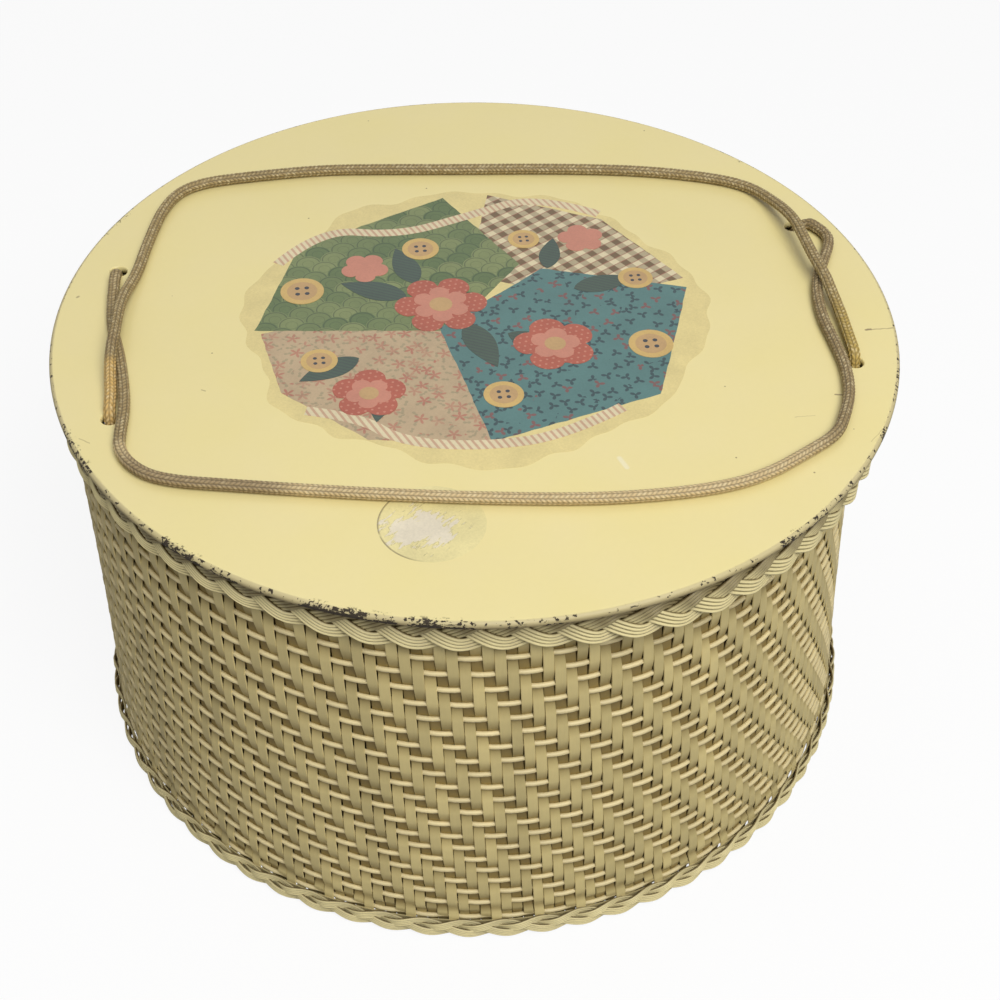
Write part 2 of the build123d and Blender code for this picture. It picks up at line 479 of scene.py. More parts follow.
# ---------------------------------------------------------------- finishes


@dataclass(frozen=True)
class StrawFinish:
    """Smooth lacquered flat fibre, paler where it stands proud, with painted shade where it dives.

    Attributes:
        name: The material's name.
        light: Colour of the faces that stand proud.
        recess_shade: Colour of the recesses, a painted shade.
        roughness: How dull the lacquer is.
        level: Brightness of the darkest strand beside the palest.
        mottle: How strongly broad blotches show.
        streak: How strongly single fibres show.
        relief: Depth of the fibres in metres.
    """

    name: str
    light: Colour
    recess_shade: Colour
    roughness: float = 0.5
    level: float = 0.80
    mottle: float = 0.22
    streak: float = 0.10
    relief: float = 0.00006

    def material(self) -> bpy.types.Material:
        """Build the material.

        Returns:
            The material.
        """
        bench = ShaderBench(self.name)
        blotch = bench.noise(bench.stretched(1, 1, 0.4), 60.0, 3.0)
        fibre = bench.noise(bench.stretched(1.0, 1.0, 0.06), 1400.0, 3.0, 0.6)
        proud = bench.attribute("proud").within(0.0, 1.0, 0.1)
        tone = bench.attribute("tone")
        # Painted shade: low-lying parts take the recess colour, proud faces the straw's own colour.
        colour = bench.mix(proud, self.recess_shade, self.light)
        shade = self.level + tone * (1.0 - self.level)
        shade = shade + (blotch - 0.5) * self.mottle + (fibre - 0.5) * self.streak
        height = fibre * 0.6 + bench.noise(bench.place, 500.0, 2.0)
        roughness = self.roughness + (blotch - 0.5) * 0.2
        return bench.finish(bench.toned(colour, shade, 0.97), roughness, height, self.relief)


@dataclass(frozen=True)
class Crack:
    """A short crack in the paint: the X and Y of its ends, its width, and how dark it is."""

    line: FlatLine
    width: float
    dark: float


@dataclass(frozen=True)
class Knock:
    """A knocked place on the lid's edge: its middle and spread in degrees, and how bad it is."""

    middle: float
    spread: float
    depth: float


@dataclass(frozen=True)
class PaintFinish:
    """Pale paint over dark hardboard, with chips along the edge and fine specks.

    Lengths are in metres. A band lies that far inside the radius and a fall that far below the
    top, from where it starts to where it is complete.

    Attributes:
        top: Colour of the paint on the flat top.
        edge: Its colour on the rounded edge, darker than the top as a painted shade.
        shaded_low_edge: Its colour at the foot of the edge, a darker painted shade.
        board: Colour of the bare board.
        mark: Colour of specks and cracks.
        scuffed: Colour of the scuff.
        under: Colour of the board's underside.
        radius: Radius of the disc.
        top_z: Height of its top.
        rim_band: The rounded edge's paint.
        chip_band: The chips.
        arris_band: The small ticks along the edge.
        edge_shade_fall: The painted shade down the edge, towards the foot's colour.
        chip_fall: The chips' spread down the edge.
        foot_fall: The edge's bare foot.
        under_fall: The underside.
        flat_fall: How far below the top the specks, cracks and scuff end.
        soundness: How high the noise stands before paint chips.
        tick_level: How high the noise stands before the edge is ticked.
        worn: How worn the sound stretches of the edge are.
        relief: Depth of the bare places' bump.
        scuff: The scuff's line.
        cracks: The cracks, mostly at the right.
        knocks: The knocked places.
    """

    top: Colour
    edge: Colour
    shaded_low_edge: Colour
    board: Colour
    mark: Colour = (0.16, 0.10, 0.05)
    scuffed: Colour = (0.86, 0.82, 0.66)
    under: Colour = (0.20, 0.115, 0.06)
    radius: float = LID_RADIUS
    top_z: float = LID_TOP
    rim_band: Span = (0.0016, 0.0009)
    chip_band: Span = (0.0030, 0.0012)
    arris_band: Span = (0.0012, 0.0001)
    edge_shade_fall: Span = (0.0002, 0.0028)
    chip_fall: Span = (0.0003, 0.0020)
    foot_fall: Span = (0.0022, 0.0027)
    under_fall: Span = (0.0027, 0.0031)
    flat_fall: float = 0.0002
    soundness: float = 0.850
    tick_level: float = 0.640
    worn: float = 0.20
    relief: float = 0.00012
    scuff: Crack = Crack((0.0376, -0.0830, 0.0392, -0.0880), 0.0012, 0.45)
    cracks: tuple[Crack, ...] = (
        Crack((0.1389, -0.0252, 0.1493, -0.025), 0.00030, 0.8),
        Crack((0.1389, -0.0252, 0.1407, -0.0251), 0.00070, 1.0),
        Crack((0.1178, -0.0595, 0.12, -0.06), 0.00055, 0.9),
        Crack((0.1008, -0.0698, 0.1078, -0.0696), 0.00028, 0.3),
        Crack((-0.0990, -0.0310, -0.0978, -0.0316), 0.00040, 0.6),
        Crack((0.1230, -0.0850, 0.1290, -0.0790), 0.00024, 0.35),
        Crack((-0.1440, 0.0280, -0.1436, 0.0284), 0.00070, 0.7),
        Crack((-0.1395, -0.0520, -0.1360, -0.0545), 0.00030, 0.5),
    )
    knocks: tuple[Knock, ...] = (
        Knock(-158.0, 6.0, 0.95), Knock(-143.0, 9.0, 0.45), Knock(-134.2, 4.0, 1.0),
        Knock(-127.5, 2.5, 0.7), Knock(-121.5, 1.5, 0.6), Knock(-113.2, 4.6, 1.05),
        Knock(-107.5, 2.2, 0.9), Knock(-101.3, 4.8, 1.05), Knock(-92.3, 1.4, 0.8),
        Knock(-87.5, 2.6, 0.55), Knock(-56.0, 2.6, 0.85), Knock(-51.0, 3.0, 0.7),
        Knock(-45.0, 4.0, 0.6), Knock(-32.0, 1.6, 1.0), Knock(-19.0, 8.0, 0.65),
        Knock(40.0, 5.0, 0.8), Knock(95.0, 7.0, 0.7), Knock(150.0, 5.0, 0.9),
    )

    def material(self) -> bpy.types.Material:
        """Build the material.

        Returns:
            The material.
        """
        bench = ShaderBench("lid_paint")
        x, y, z = bench.parts(bench.place)
        out, down = bench.length(x, y), self.top_z - z
        rim = self._inside(out, self.rim_band)
        sheet = bench.stretched(1, 1, 0.01)
        cloud = bench.noise(sheet, 9.0, 3.0, 0.55)
        tint = bench.noise(sheet, 33.0, 2.0, 0.5)
        grain = bench.noise(bench.place, 420.0, 2.0)
        # Painted shade: the rounded edge darkens from its top down to its foot.
        edge = bench.mix(down.ramp(*self.edge_shade_fall), self.edge, self.shaded_low_edge)
        paint = bench.mix(rim, self.top, edge)
        shade = 0.955 + cloud * 0.07 + (grain - 0.5) * 0.02
        paint = bench.toned(paint, shade, 0.985 + (tint - 0.5) * 0.16)
        flat = 1.0 - down.ramp(0.0, self.flat_fall)
        marks = bench.greater(self._specks(bench) * 0.75, self._cracked(bench, x, y) * 0.8)
        colour = bench.mix(marks * flat, paint, self.mark)
        scuff = self._near(bench, x, y, self.scuff) * flat * self.scuff.dark
        colour = bench.mix(scuff, colour, self.scuffed)
        bare = self._bare(bench, x, y, out, down)
        colour = bench.mix(bare, colour, self.board)
        under = down.ramp(*self.under_fall)
        colour = bench.mix(under, colour, self.under)
        height = grain * 0.15 + cloud * 0.5 - bare * 1.4
        roughness = 0.34 + rim * 0.22 + bare * 0.30 + under * 0.3
        return bench.finish(colour, roughness, height, self.relief)

    def _inside(self, out: Field, band: Span) -> Field:
        """Nothing well inside the radius, one past a band near it."""
        return out.ramp(self.radius - band[0], self.radius - band[1])

    def _bare(self, bench: ShaderBench, x: Field, y: Field, out: Field, down: Field) -> Field:
        """Where the board shows: chips, small ticks on the edge, and the edge's foot.

        Args:
            bench: The material's bench.
            x: Object X.
            y: Object Y.
            out: Distance from the axis.
            down: Distance below the top.

        Returns:
            The field, 1 where the board is bare.
        """
        worn = self._worn(bench, bench.maths("ARCTAN2", y, x) * (180.0 / math.pi))
        squashed = bench.stretched(1, 1, 1.5)
        fine = bench.noise(squashed, 1050.0, 4.0, 0.62)
        broad = bench.noise(squashed, 230.0, 2.0, 0.5)
        low = down.ramp(*self.chip_fall) * 0.13
        chip = (fine * 0.52 + broad * 0.48 + worn * 0.30 + low - self.soundness).ramp(0.0, 0.012)
        chip = chip * self._inside(out, self.chip_band)
        inner, outer = (self.radius - inside for inside in self.arris_band)
        arris = out.between(inner, outer, 0.0003)
        tick = bench.noise(bench.place, 620.0, 3.0, 0.6)
        tick = (tick + worn * 0.12 - self.tick_level).ramp(0.0, 0.015) * arris
        foot = (fine * 0.5 + broad * 0.3 - 0.40).ramp(-0.04, 0.06) * down.ramp(*self.foot_fall)
        return bench.greater(bench.greater(chip, tick).within(0.0, 1.0), foot * 0.6)

    @staticmethod
    def _specks(bench: ShaderBench) -> Field:
        """Fine dark specks scattered over the paint.

        Args:
            bench: The material's bench.

        Returns:
            The field, 1 on a speck.
        """
        cells = bench.cells(bench.stretched(1, 1, 0.01), 210.0)
        centre = Field(bench, cells.outputs["Distance"])
        pick = bench.parts(Field(bench, cells.outputs["Color"]))[0]
        return (1.0 - centre.ramp(0.05, 0.09)) * pick.ramp(0.968, 0.972)

    @staticmethod
    def _near(bench: ShaderBench, x: Field, y: Field, crack: Crack) -> Field:
        """One near a crack's line, nothing away from it.

        Args:
            bench: The material's bench.
            x: Object X.
            y: Object Y.
            crack: The crack.

        Returns:
            The field.
        """
        ax, ay, bx, by = crack.line
        wide, high = bx - ax, by - ay
        along = ((x - ax) * wide + (y - ay) * high) / (wide * wide + high * high)
        along = along.within(0.0, 1.0)
        away = bench.length(x - ax - along * wide, y - ay - along * high)
        return 1.0 - away.ramp(crack.width * 0.35, crack.width)

    def _cracked(self, bench: ShaderBench, x: Field, y: Field) -> Field:
        """Short wandering cracks in the paint.

        Args:
            bench: The material's bench.
            x: Object X.
            y: Object Y.

        Returns:
            The field, as dark as each crack.
        """
        y = y + (bench.noise(bench.place, 260.0, 2.0) - 0.5) * 0.0016
        marks: Any = 0.0
        for crack in self.cracks:
            marks = bench.greater(marks, self._near(bench, x, y, crack) * crack.dark)
        return marks

    def _worn(self, bench: ShaderBench, turn: Field) -> Field:
        """How worn the edge is at each turn about the lid, by its knocked places.

        Args:
            bench: The material's bench.
            turn: Angle from +X in degrees.

        Returns:
            From 0, sound, to 1, badly chipped.
        """
        worn: Any = self.worn
        for knock in self.knocks:
            gone = bench.maths("ABSOLUTE", turn - knock.middle)
            here = 1.0 - gone.ramp(knock.spread * 0.6, knock.spread * 1.25)
            worn = bench.greater(worn, here * knock.depth)
        return worn


@dataclass(frozen=True)
class CordFinish:
    """Braided cord, faded where it has lain in the light and soiled in places; some stretches and the grooves
    carry painted light and shade.

    Attributes:
        name: The material's name.
        length: The cord's length, in metres.
        fade_and_lighting: Colour of the main stretch: its fade, lighter as painted light on one cord and
            darker as painted shade on the other.
        fresh: Colour of the left stretch: on one cord its own colour faded less, on the other a painted
            shade.
        olive: Colour of the right stretch: on one cord its own olive, on the other a painted shade.
        left_stretch: Where the left stretch starts and ends along the cord, in metres.
        right_stretch: Where the right stretch starts and ends, in metres.
        darkened: Where a darker stretch starts and ends, in metres.
        soil: Colour of the darker stretch.
        fleck: Colour of the pale threads that stand proud.
        relief: Depth of the threads in metres.
    """

    name: str
    length: float
    fade_and_lighting: Colour
    fresh: Colour
    olive: Colour
    left_stretch: Span = (0.0, 0.01)
    right_stretch: Span = (0.0, 0.01)
    darkened: Span = (0.0, 0.0)
    soil: Colour = (0.19, 0.125, 0.060)
    fleck: Colour = (0.78, 0.66, 0.42)
    relief: float = 0.00010

    def material(self) -> bpy.types.Material:
        """Build the material.

        Returns:
            The material.
        """
        bench = ShaderBench(self.name)
        metres = bench.uv()[0] * self.length
        left = metres.between(*self.left_stretch, 0.006)
        right = metres.between(*self.right_stretch, 0.030)
        darkened = metres.between(*self.darkened, 0.016)
        proud = bench.attribute("proud")
        blotch = bench.noise(bench.place, 55.0, 3.0)
        thread = bench.noise(bench.place, 3800.0, 2.0)
        pale = bench.noise(bench.place, 700.0, 2.0).ramp(0.46, 0.64)
        # The stretches carry painted light and shade as well as the cord's own fade.
        colour = bench.mix(right, bench.mix(left, self.fade_and_lighting, self.fresh), self.olive)
        colour = bench.mix(darkened * 0.66, colour, self.soil)
        colour = bench.mix(proud * pale * (0.62 - darkened * 0.4), colour, self.fleck)
        # Painted shade in the braid's grooves, where the threads lie low.
        shade = 0.38 + proud * 0.64 + (blotch - 0.5) * 0.22 + (thread - 0.5) * 0.35
        return bench.finish(bench.toned(colour, shade, 0.95), 0.66, thread, self.relief)


@dataclass(frozen=True)
class BoardFinish:
    """Bare brown board.

    Attributes:
        name: The material's name.
        colour: Its colour.
        relief: Depth of the mottle in metres.
    """

    name: str
    colour: Colour
    relief: float = 0.0001

    def material(self) -> bpy.types.Material:
        """Build the material.

        Returns:
            The material.
        """
        bench = ShaderBench(self.name)
        mottle = bench.noise(bench.place, 700.0, 4.0, 0.65)
        shade = 0.78 + mottle * 0.3 + bench.noise(bench.place, 25.0, 2.0) * 0.15
        return bench.finish(bench.toned(self.colour, shade), 0.78, mottle, self.relief)


@dataclass(frozen=True)
class WireFinish:
    """Plain steel wire, of one colour, with scratches of that depth in metres."""

    colour: Colour = (0.55, 0.54, 0.52)
    relief: float = 0.00003

    def material(self) -> bpy.types.Material:
        """Build the material.

        Returns:
            The material.
        """
        bench = ShaderBench("staple_wire")
        scratch = bench.noise(bench.place, 900.0, 2.0)
        return bench.finish(self.colour, 0.28 + scratch * 0.2, scratch, self.relief, Metallic=1.0)


# ---------------------------------------------------------------- the wall


@dataclass(frozen=True)
class WallForm:
    """The wall's outline: radii at three heights about an axis that has racked sideways."""

    height: float = 0.165
    foot_radius: float = 0.1498
    waist_radius: float = 0.1454
    rim_radius: float = 0.1432
    rim_shift: float = -0.0045

    def radius(self, z: Any) -> Any:
        """Radius at a height, through the three radii.

        Args:
            z: Height, a number or a field.

        Returns:
            The radius, a number or a field.
        """
        t = z / self.height
        foot = self.foot_radius * ((1.0 - t) * (1.0 - 2.0 * t))
        waist = self.waist_radius * (4.0 * t * (1.0 - t))
        return foot + waist + self.rim_radius * (t * (2.0 * t - 1.0))

    def centre(self, z: Any) -> Any:
        """X of the axis at a height, a number or a field."""
        return self.rim_shift * (z / self.height)

    def place(self, bench: Bench, angle: Field, radius: Field, z: Field) -> Field:
        """A field of points at an angle about the axis, a radius and a height."""
        return bench.vector(self.centre(z) + radius * angle.cosine(), radius * angle.sine(), z)


@dataclass
class WovenWall:
    """The wall: upright flat strips over and under level round strands, two by two."""

    form: WallForm
    finish: StrawFinish
    strand_finish: StrawFinish
    columns: int = 240
    first_row: int = 1
    rows: int = 23
    top_row_height: float = 0.1654
    top_row_pitch: float = 0.00753
    pitch_change: float = 0.000071
    lean: float = 0.1885
    plumb_height: float = 0.0625
    foot_drop: float = 0.0026
    foot_turn: Span = (0.0102, 0.0136)
    strip_width: float = 0.00374
    width_spread: Span = (-0.035, 0.03)
    strip_thickness: float = 0.00056
    strip_fullness: float = 0.58
    strip_squareness: float = 0.14
    strip_crown: float = 0.00016
    strip_wander: float = 0.00045
    strand_radius: float = 0.00088
    swing: float = 0.00076
    swing_gain: float = 1.38
    swing_rounding: float = 0.25
    strand_swing: float = 0.00030
    strand_wander: float = 0.0009
    strand_sides: int = 8
    inset: float = 0.00026
    strip_low: float = 0.0030
    strip_high: float = 0.1638
    strip_steps: int = 98
    strip_sides: int = 6

    def row_at(self, bench: Bench, z: Field) -> Field:
        """How many rows lie between the wall's top row and a height.

        Args:
            bench: Where the nodes go.
            z: The height.

        Returns:
            Rows, with fractions.
        """
        drop = self.top_row_height - z
        root = bench.maths("SQRT", self.top_row_pitch**2 - drop * (2 * self.pitch_change))
        return (self.top_row_pitch - root) / self.pitch_change

    def level_of(self, row: Field) -> Field:
        """Height of a row; the last lies a little lower, on the foot plait."""
        last = row.ramp(self.rows - 0.6, self.rows - 0.4) * self.foot_drop
        return self.top_row_height - row * self.top_row_pitch + row * row * (self.pitch_change / 2) - last

    def leaning(self, z: Field) -> Field:
        """How far round the leaning strips stand at a height, in radians."""
        return (self.plumb_height - z) * self.lean

    def over(self, row: Field, column: Field, z: Field) -> Field:
        """Whether a strip lies outside, 1, or inside, -1, of the strands at a place.

        Args:
            row: Rows down from the top row, with fractions.
            column: The strip's column, with fractions.
            z: Height.

        Returns:
            The swing, from -1 to 1.
        """
        phase = (row - column - 0.5) * (math.pi / 2)
        swing = (phase.cosine() * self.swing_gain).within(-1.0, 1.0, self.swing_rounding)
        turned = z.ramp(*self.foot_turn) * 2.0 - 1.0
        return swing * turned

    def strips(self, name: str, first: int, count: int) -> bpy.types.Object:
        """Grow a run of neighbouring strips.

        Args:
            name: The piece's name.
            first: Column of the first strip.
            count: How many strips.

        Returns:
            The piece.
        """
        bench = GeometryBench(name, {"First column": first, "Strips": count, "Strip width": self.strip_width})
        sizes = {"Vertices": self.strip_sides, "Side Segments": self.strip_steps, "Radius": 1.0, "Depth": 2.0}
        tube = bench.result("GeometryNodeMeshCylinder", sizes, fill_type="NGON")
        unit = bench.copies(tube, bench.input("Strips"), "number")
        column = bench.stored("number") + bench.input("First column")
        x, y, up = bench.position()
        z = self.strip_low + (up * 0.5 + 0.5) * (self.strip_high - self.strip_low)
        over = self.over(self.row_at(bench, z), column, z)
        # How far out the strip lies, which the finish turns into painted shade where it dives behind the
        # strands.
        unit = bench.store(unit, "proud", 0.5 + over * 0.5)
        unit = bench.store(unit, "tone", bench.chance(column, 0.0, 1.0, 11))
        stray = bench.noise(bench.vector(column * 7.31, z * 38.0, 0.0), 1.0, 1.0) - 0.5
        width = bench.input("Strip width") * (1.0 + bench.chance(column, *self.width_spread, 3))
        flat = bench.maths("POWER", bench.maths("ABSOLUTE", x), self.strip_squareness)
        flat = bench.maths("SIGN", x) * flat
        across = flat * width * 0.5
        angle = column * (FULL_TURN / self.columns) + self.leaning(z)
        angle = angle + (across + stray * self.strip_wander) / self.form.radius(z)
        crown = (1.0 - flat * flat) * self.strip_crown
        depth = over * self.swing + y * (self.strip_thickness * self.strip_fullness) + crown
        radius = self.form.radius(z) - self.inset + depth
        body = bench.moved(unit, self.form.place(bench, angle, radius, z))
        return bench.grow(name, body, self.finish.material())

    def strands(self, name: str) -> bpy.types.Object:
        """Grow the level strands, one closed ring for each row.

        Args:
            name: The piece's name.

        Returns:
            The piece.
        """
        inputs = {"Rows": self.rows, "First row": self.first_row, "Strand radius": self.strand_radius}
        bench = GeometryBench(name, inputs)
        around = {"Resolution": self.columns * 2, "Radius": 1.0}
        ring = bench.result("GeometryNodeCurvePrimitiveCircle", around, mode="RADIUS")
        rings = bench.copies(ring, bench.input("Rows"), "number")
        row = bench.stored("number") + bench.input("First row")
        x, y, _ = bench.position()
        angle = bench.maths("ARCTAN2", y, x)
        level = self.level_of(row)
        column = (angle - self.leaning(level)) * (self.columns / FULL_TURN)
        wave = bench.noise(bench.vector(x * 3.0, y * 3.0, row * 5.0), 1.0, 1.0) - 0.5
        z = level + wave * self.strand_wander
        over = self.over(row, column, level)
        # The finish paints shade on a strand where it passes behind the strips.
        rings = bench.store(rings, "proud", 0.75 - over * 0.25)
        rings = bench.store(rings, "tone", bench.chance(row, 0.0, 1.0, 5))
        radius = self.form.radius(z) - self.inset - over * self.strand_swing
        laid = bench.moved(rings, self.form.place(bench, angle, radius, z))
        section = {"Resolution": self.strand_sides, "Radius": bench.input("Strand radius")}
        profile = bench.result("GeometryNodeCurvePrimitiveCircle", section, mode="RADIUS")
        mesh = bench.result("GeometryNodeCurveToMesh", {"Curve": laid, "Profile Curve": profile})
        return bench.grow(name, mesh, self.strand_finish.material())

    def build(self) -> None:
        """Build the whole wall, hide its two CAD nodes and put it on the basket's body."""
        half = self.columns // 2
        pieces = [
            self.strips("wall_strips_rear", 0, half),
            self.strips("wall_strips_front", half, half),
            self.strands("wall_strands"),
        ]
        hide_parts("wall_weave", "wall_floats")
        for piece in pieces:
            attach(piece, Body.BASKET.value)


@dataclass
class PlaitedEdge:
    """A flat plait of three strands, each of several fine cords, round one edge of the wall.

    The wave of one strand is drawn once, laid out flat, and copied round the wall.
    """

    form: WallForm
    finish: StrawFinish
    name: str
    nodes: tuple[str, str, str]
    low: float
    high: float
    stand_off: float
    cords: int = 4
    cord_radius: float = 0.00070
    cord_pitch: float = 0.00142
    lobes: int = 66
    lobes_each_wave: float = 3.0
    steps: int = 36
    depth: float = 0.00100
    skew: float = 0.035
    sides: int = 8
    tangent_reach: float = 0.004
    # Painted shade: each cord darkens towards its sides and where it lies deeper at a crossing.
    cord_proud: float = 0.86
    crossing_proud: float = 0.14
    proud_gain: float = 1.8
    proud_start: float = 0.60
    # Painted shade over the plait's upper half, under the lid's overhang, and how it rises with height.
    lid_shade: float = 0.0
    lid_shade_rise: float = 1.6
    lid_shade_middle: float = 0.1
    unevenness: float = 0.10
    flare: float = 0.0
    flare_turn: float = math.radians(-47.0)
    flare_facing: Span = (0.72, 0.97)
    tuck: float = 0.0
    tuck_turn: float = math.radians(-150.0)
    tuck_facing: Span = (0.75, 0.95)
    band_inset: float = 0.0008
    band_thickness: float = 0.0005
    band_stand_off: float = 0.0007
    band_steps: int = 240
    band_lean: float = 0.55
    # The band behind the plait is mostly painted shade.
    band_proud: float = 0.30

    def flared(self, facing: Any) -> Any:
        """How far the plait stands out from the wall at a place.

        Args:
            facing: Cosine of the turn from where it flares most, a number or a field.

        Returns:
            The distance in metres, a number or a field.
        """
        start, end = self.flare_facing
        if isinstance(facing, Field):
            return facing.ramp(start, end) * self.flare
        return min(max((facing - start) / (end - start), 0.0), 1.0) * self.flare

    def path(self, share: float, swing: float) -> Vector:
        """A strand's middle that share of the way along its wave: X in lobes, Y out, Z up."""
        a = FULL_TURN * (share + self.skew * math.sin(FULL_TURN * share))
        return Vector((self.lobes_each_wave * share, self.depth * math.sin(2 * a), swing * math.sin(a)))

    def cord_ring(self, share: float, swing: float, offset: float) -> list[tuple[Vector, float]]:
        """The ring of points round one fine cord at a place along the wave.

        Args:
            share: How far along the wave, from 0 to 1.
            swing: Half of the wave's height.
            offset: How far the cord lies to the side of the strand's middle.

        Returns:
            Each point, its X in lobes, with how proud it stands, dimmed by painted shade.
        """
        lobe = FULL_TURN * self.form.radius((self.low + self.high) / 2) / self.lobes
        here = self.path(share, swing)
        ahead = self.path(share + self.tangent_reach, swing) - self.path(share - self.tangent_reach, swing)
        along = Vector((ahead.x * lobe, 0.0, ahead.z)).normalized()
        across = Vector((-along.z, 0.0, along.x))
        middle = Vector((here.x * lobe, here.y, here.z)) + across * offset
        # Painted shade: darker where the cord lies deeper at a crossing, and higher up under the lid's
        # overhang.
        sunk = self.cord_proud + self.crossing_proud * here.y / self.depth
        darkened = min(max(here.z / swing * self.lid_shade_rise + self.lid_shade_middle, 0.0), 1.0)
        unshaded_share = 1.0 - self.lid_shade * darkened
        ring = []
        for side in range(self.sides):
            angle = FULL_TURN * side / self.sides
            point = middle + across * (self.cord_radius * math.cos(angle))
            point.y += self.cord_radius * math.sin(angle)
            # Painted shade on the cord's sides, so that dark lines lie between the cords.
            proud = min(max(math.sin(angle) * self.proud_gain - self.proud_start, 0.0), 1.0)
            ring.append((Vector((point.x / lobe, point.y, point.z)), proud * sunk * unshaded_share))
        return ring

    def unit(self) -> bpy.types.Object:
        """Draw one whole wave of one strand, laid out flat.

        Returns:
            The strand.
        """
        build = bmesh.new()
        proud = build.verts.layers.float.new("proud")
        cord_number = build.verts.layers.float.new("cord")
        half_band = self.cord_pitch * (self.cords - 1) / 2
        swing = (self.high - self.low) / 2 - half_band - self.cord_radius
        for cord in range(self.cords):
            offset = (cord - (self.cords - 1) / 2) * self.cord_pitch
            rings = []
            for step in range(self.steps + 1):
                ring = []
                for point, height in self.cord_ring(step / self.steps, swing, offset):
                    vert = build.verts.new(point)
                    vert[proud] = height
                    vert[cord_number] = float(cord)
                    ring.append(vert)
                rings.append(ring)
            for first, second in zip(rings, rings[1:]):
                skirt(build, first, second)
            build.faces.new(rings[0][::-1])
            build.faces.new(rings[-1])
        return from_bmesh(self.name + "_unit", build, self.finish.material())

    def build(self) -> None:
        """Grow the plait round the wall, hide its CAD strands, put it on the basket's body and add its band.
        """
        unit = self.unit()
        bench = GeometryBench(self.name, {"Strand": unit, "Lobes": self.lobes})
        strand = bench.result("GeometryNodeObjectInfo", {"Object": bench.input("Strand")}, "Geometry")
        chain = bench.copies(strand, bench.input("Lobes"), "number")
        number = bench.stored("number")
        chain = bench.store(chain, "tone", bench.chance(number * 7.0 + bench.stored("cord"), 0.0, 1.0, 21))
        x, out, up = bench.position()
        middle = (self.low + self.high) / 2
        angle = (x + number) * (FULL_TURN / self.lobes)
        uneven = bench.noise(bench.vector(angle.cosine() * 9.0, angle.sine() * 9.0, 0.0), 1.0, 2.0) - 0.5
        tucked = (angle - self.tuck_turn).cosine().ramp(*self.tuck_facing) * self.tuck
        z = up * (1.0 + uneven * self.unevenness - tucked) + middle + tucked * ((self.high - self.low) / 2)
        radius = self.form.radius(z) + self.stand_off + out + self.flared((angle - self.flare_turn).cosine())
        chain = bench.moved(chain, self.form.place(bench, angle, radius, z))
        piece = bench.grow(self.name, chain, unit.data.materials[0])
        bpy.data.objects.remove(unit)
        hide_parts(*self.nodes)
        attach(piece, Body.BASKET.value)
        self.band(piece.data.materials[0])

    def band(self, material: bpy.types.Material) -> None:
        """Build the flat band of straw that the plait is sewn on, behind it.

        Args:
            material: The plait's material.
        """
        build = bmesh.new()
        proud = build.verts.layers.float.new("proud")
        rings = []
        low, high = self.low + self.band_inset, self.high - self.band_inset
        for z, out in ((low, 0.0), (high, 0.0), (high, self.band_thickness), (low, self.band_thickness)):
            share = 1.0 if z == high else self.band_lean
            ring = []
            for step in range(self.band_steps):
                angle = FULL_TURN * step / self.band_steps
                lean = self.flared(math.cos(angle - self.flare_turn)) * share
                radius = self.form.radius(z) + self.band_stand_off + out + lean
                x, y = self.form.centre(z) + radius * math.cos(angle), radius * math.sin(angle)
                ring.append(build.verts.new((x, y, z)))
                # Painted shade: the band takes mostly the recess colour.
                ring[-1][proud] = self.band_proud
            rings.append(ring)
        for first, second in zip(rings, [*rings[1:], rings[0]]):
            skirt(build, first, second, smooth=False)
        piece = from_bmesh(self.name + "_band", build, material)
        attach(piece, Body.BASKET.value)


# ---------------------------------------------------------------- the lid


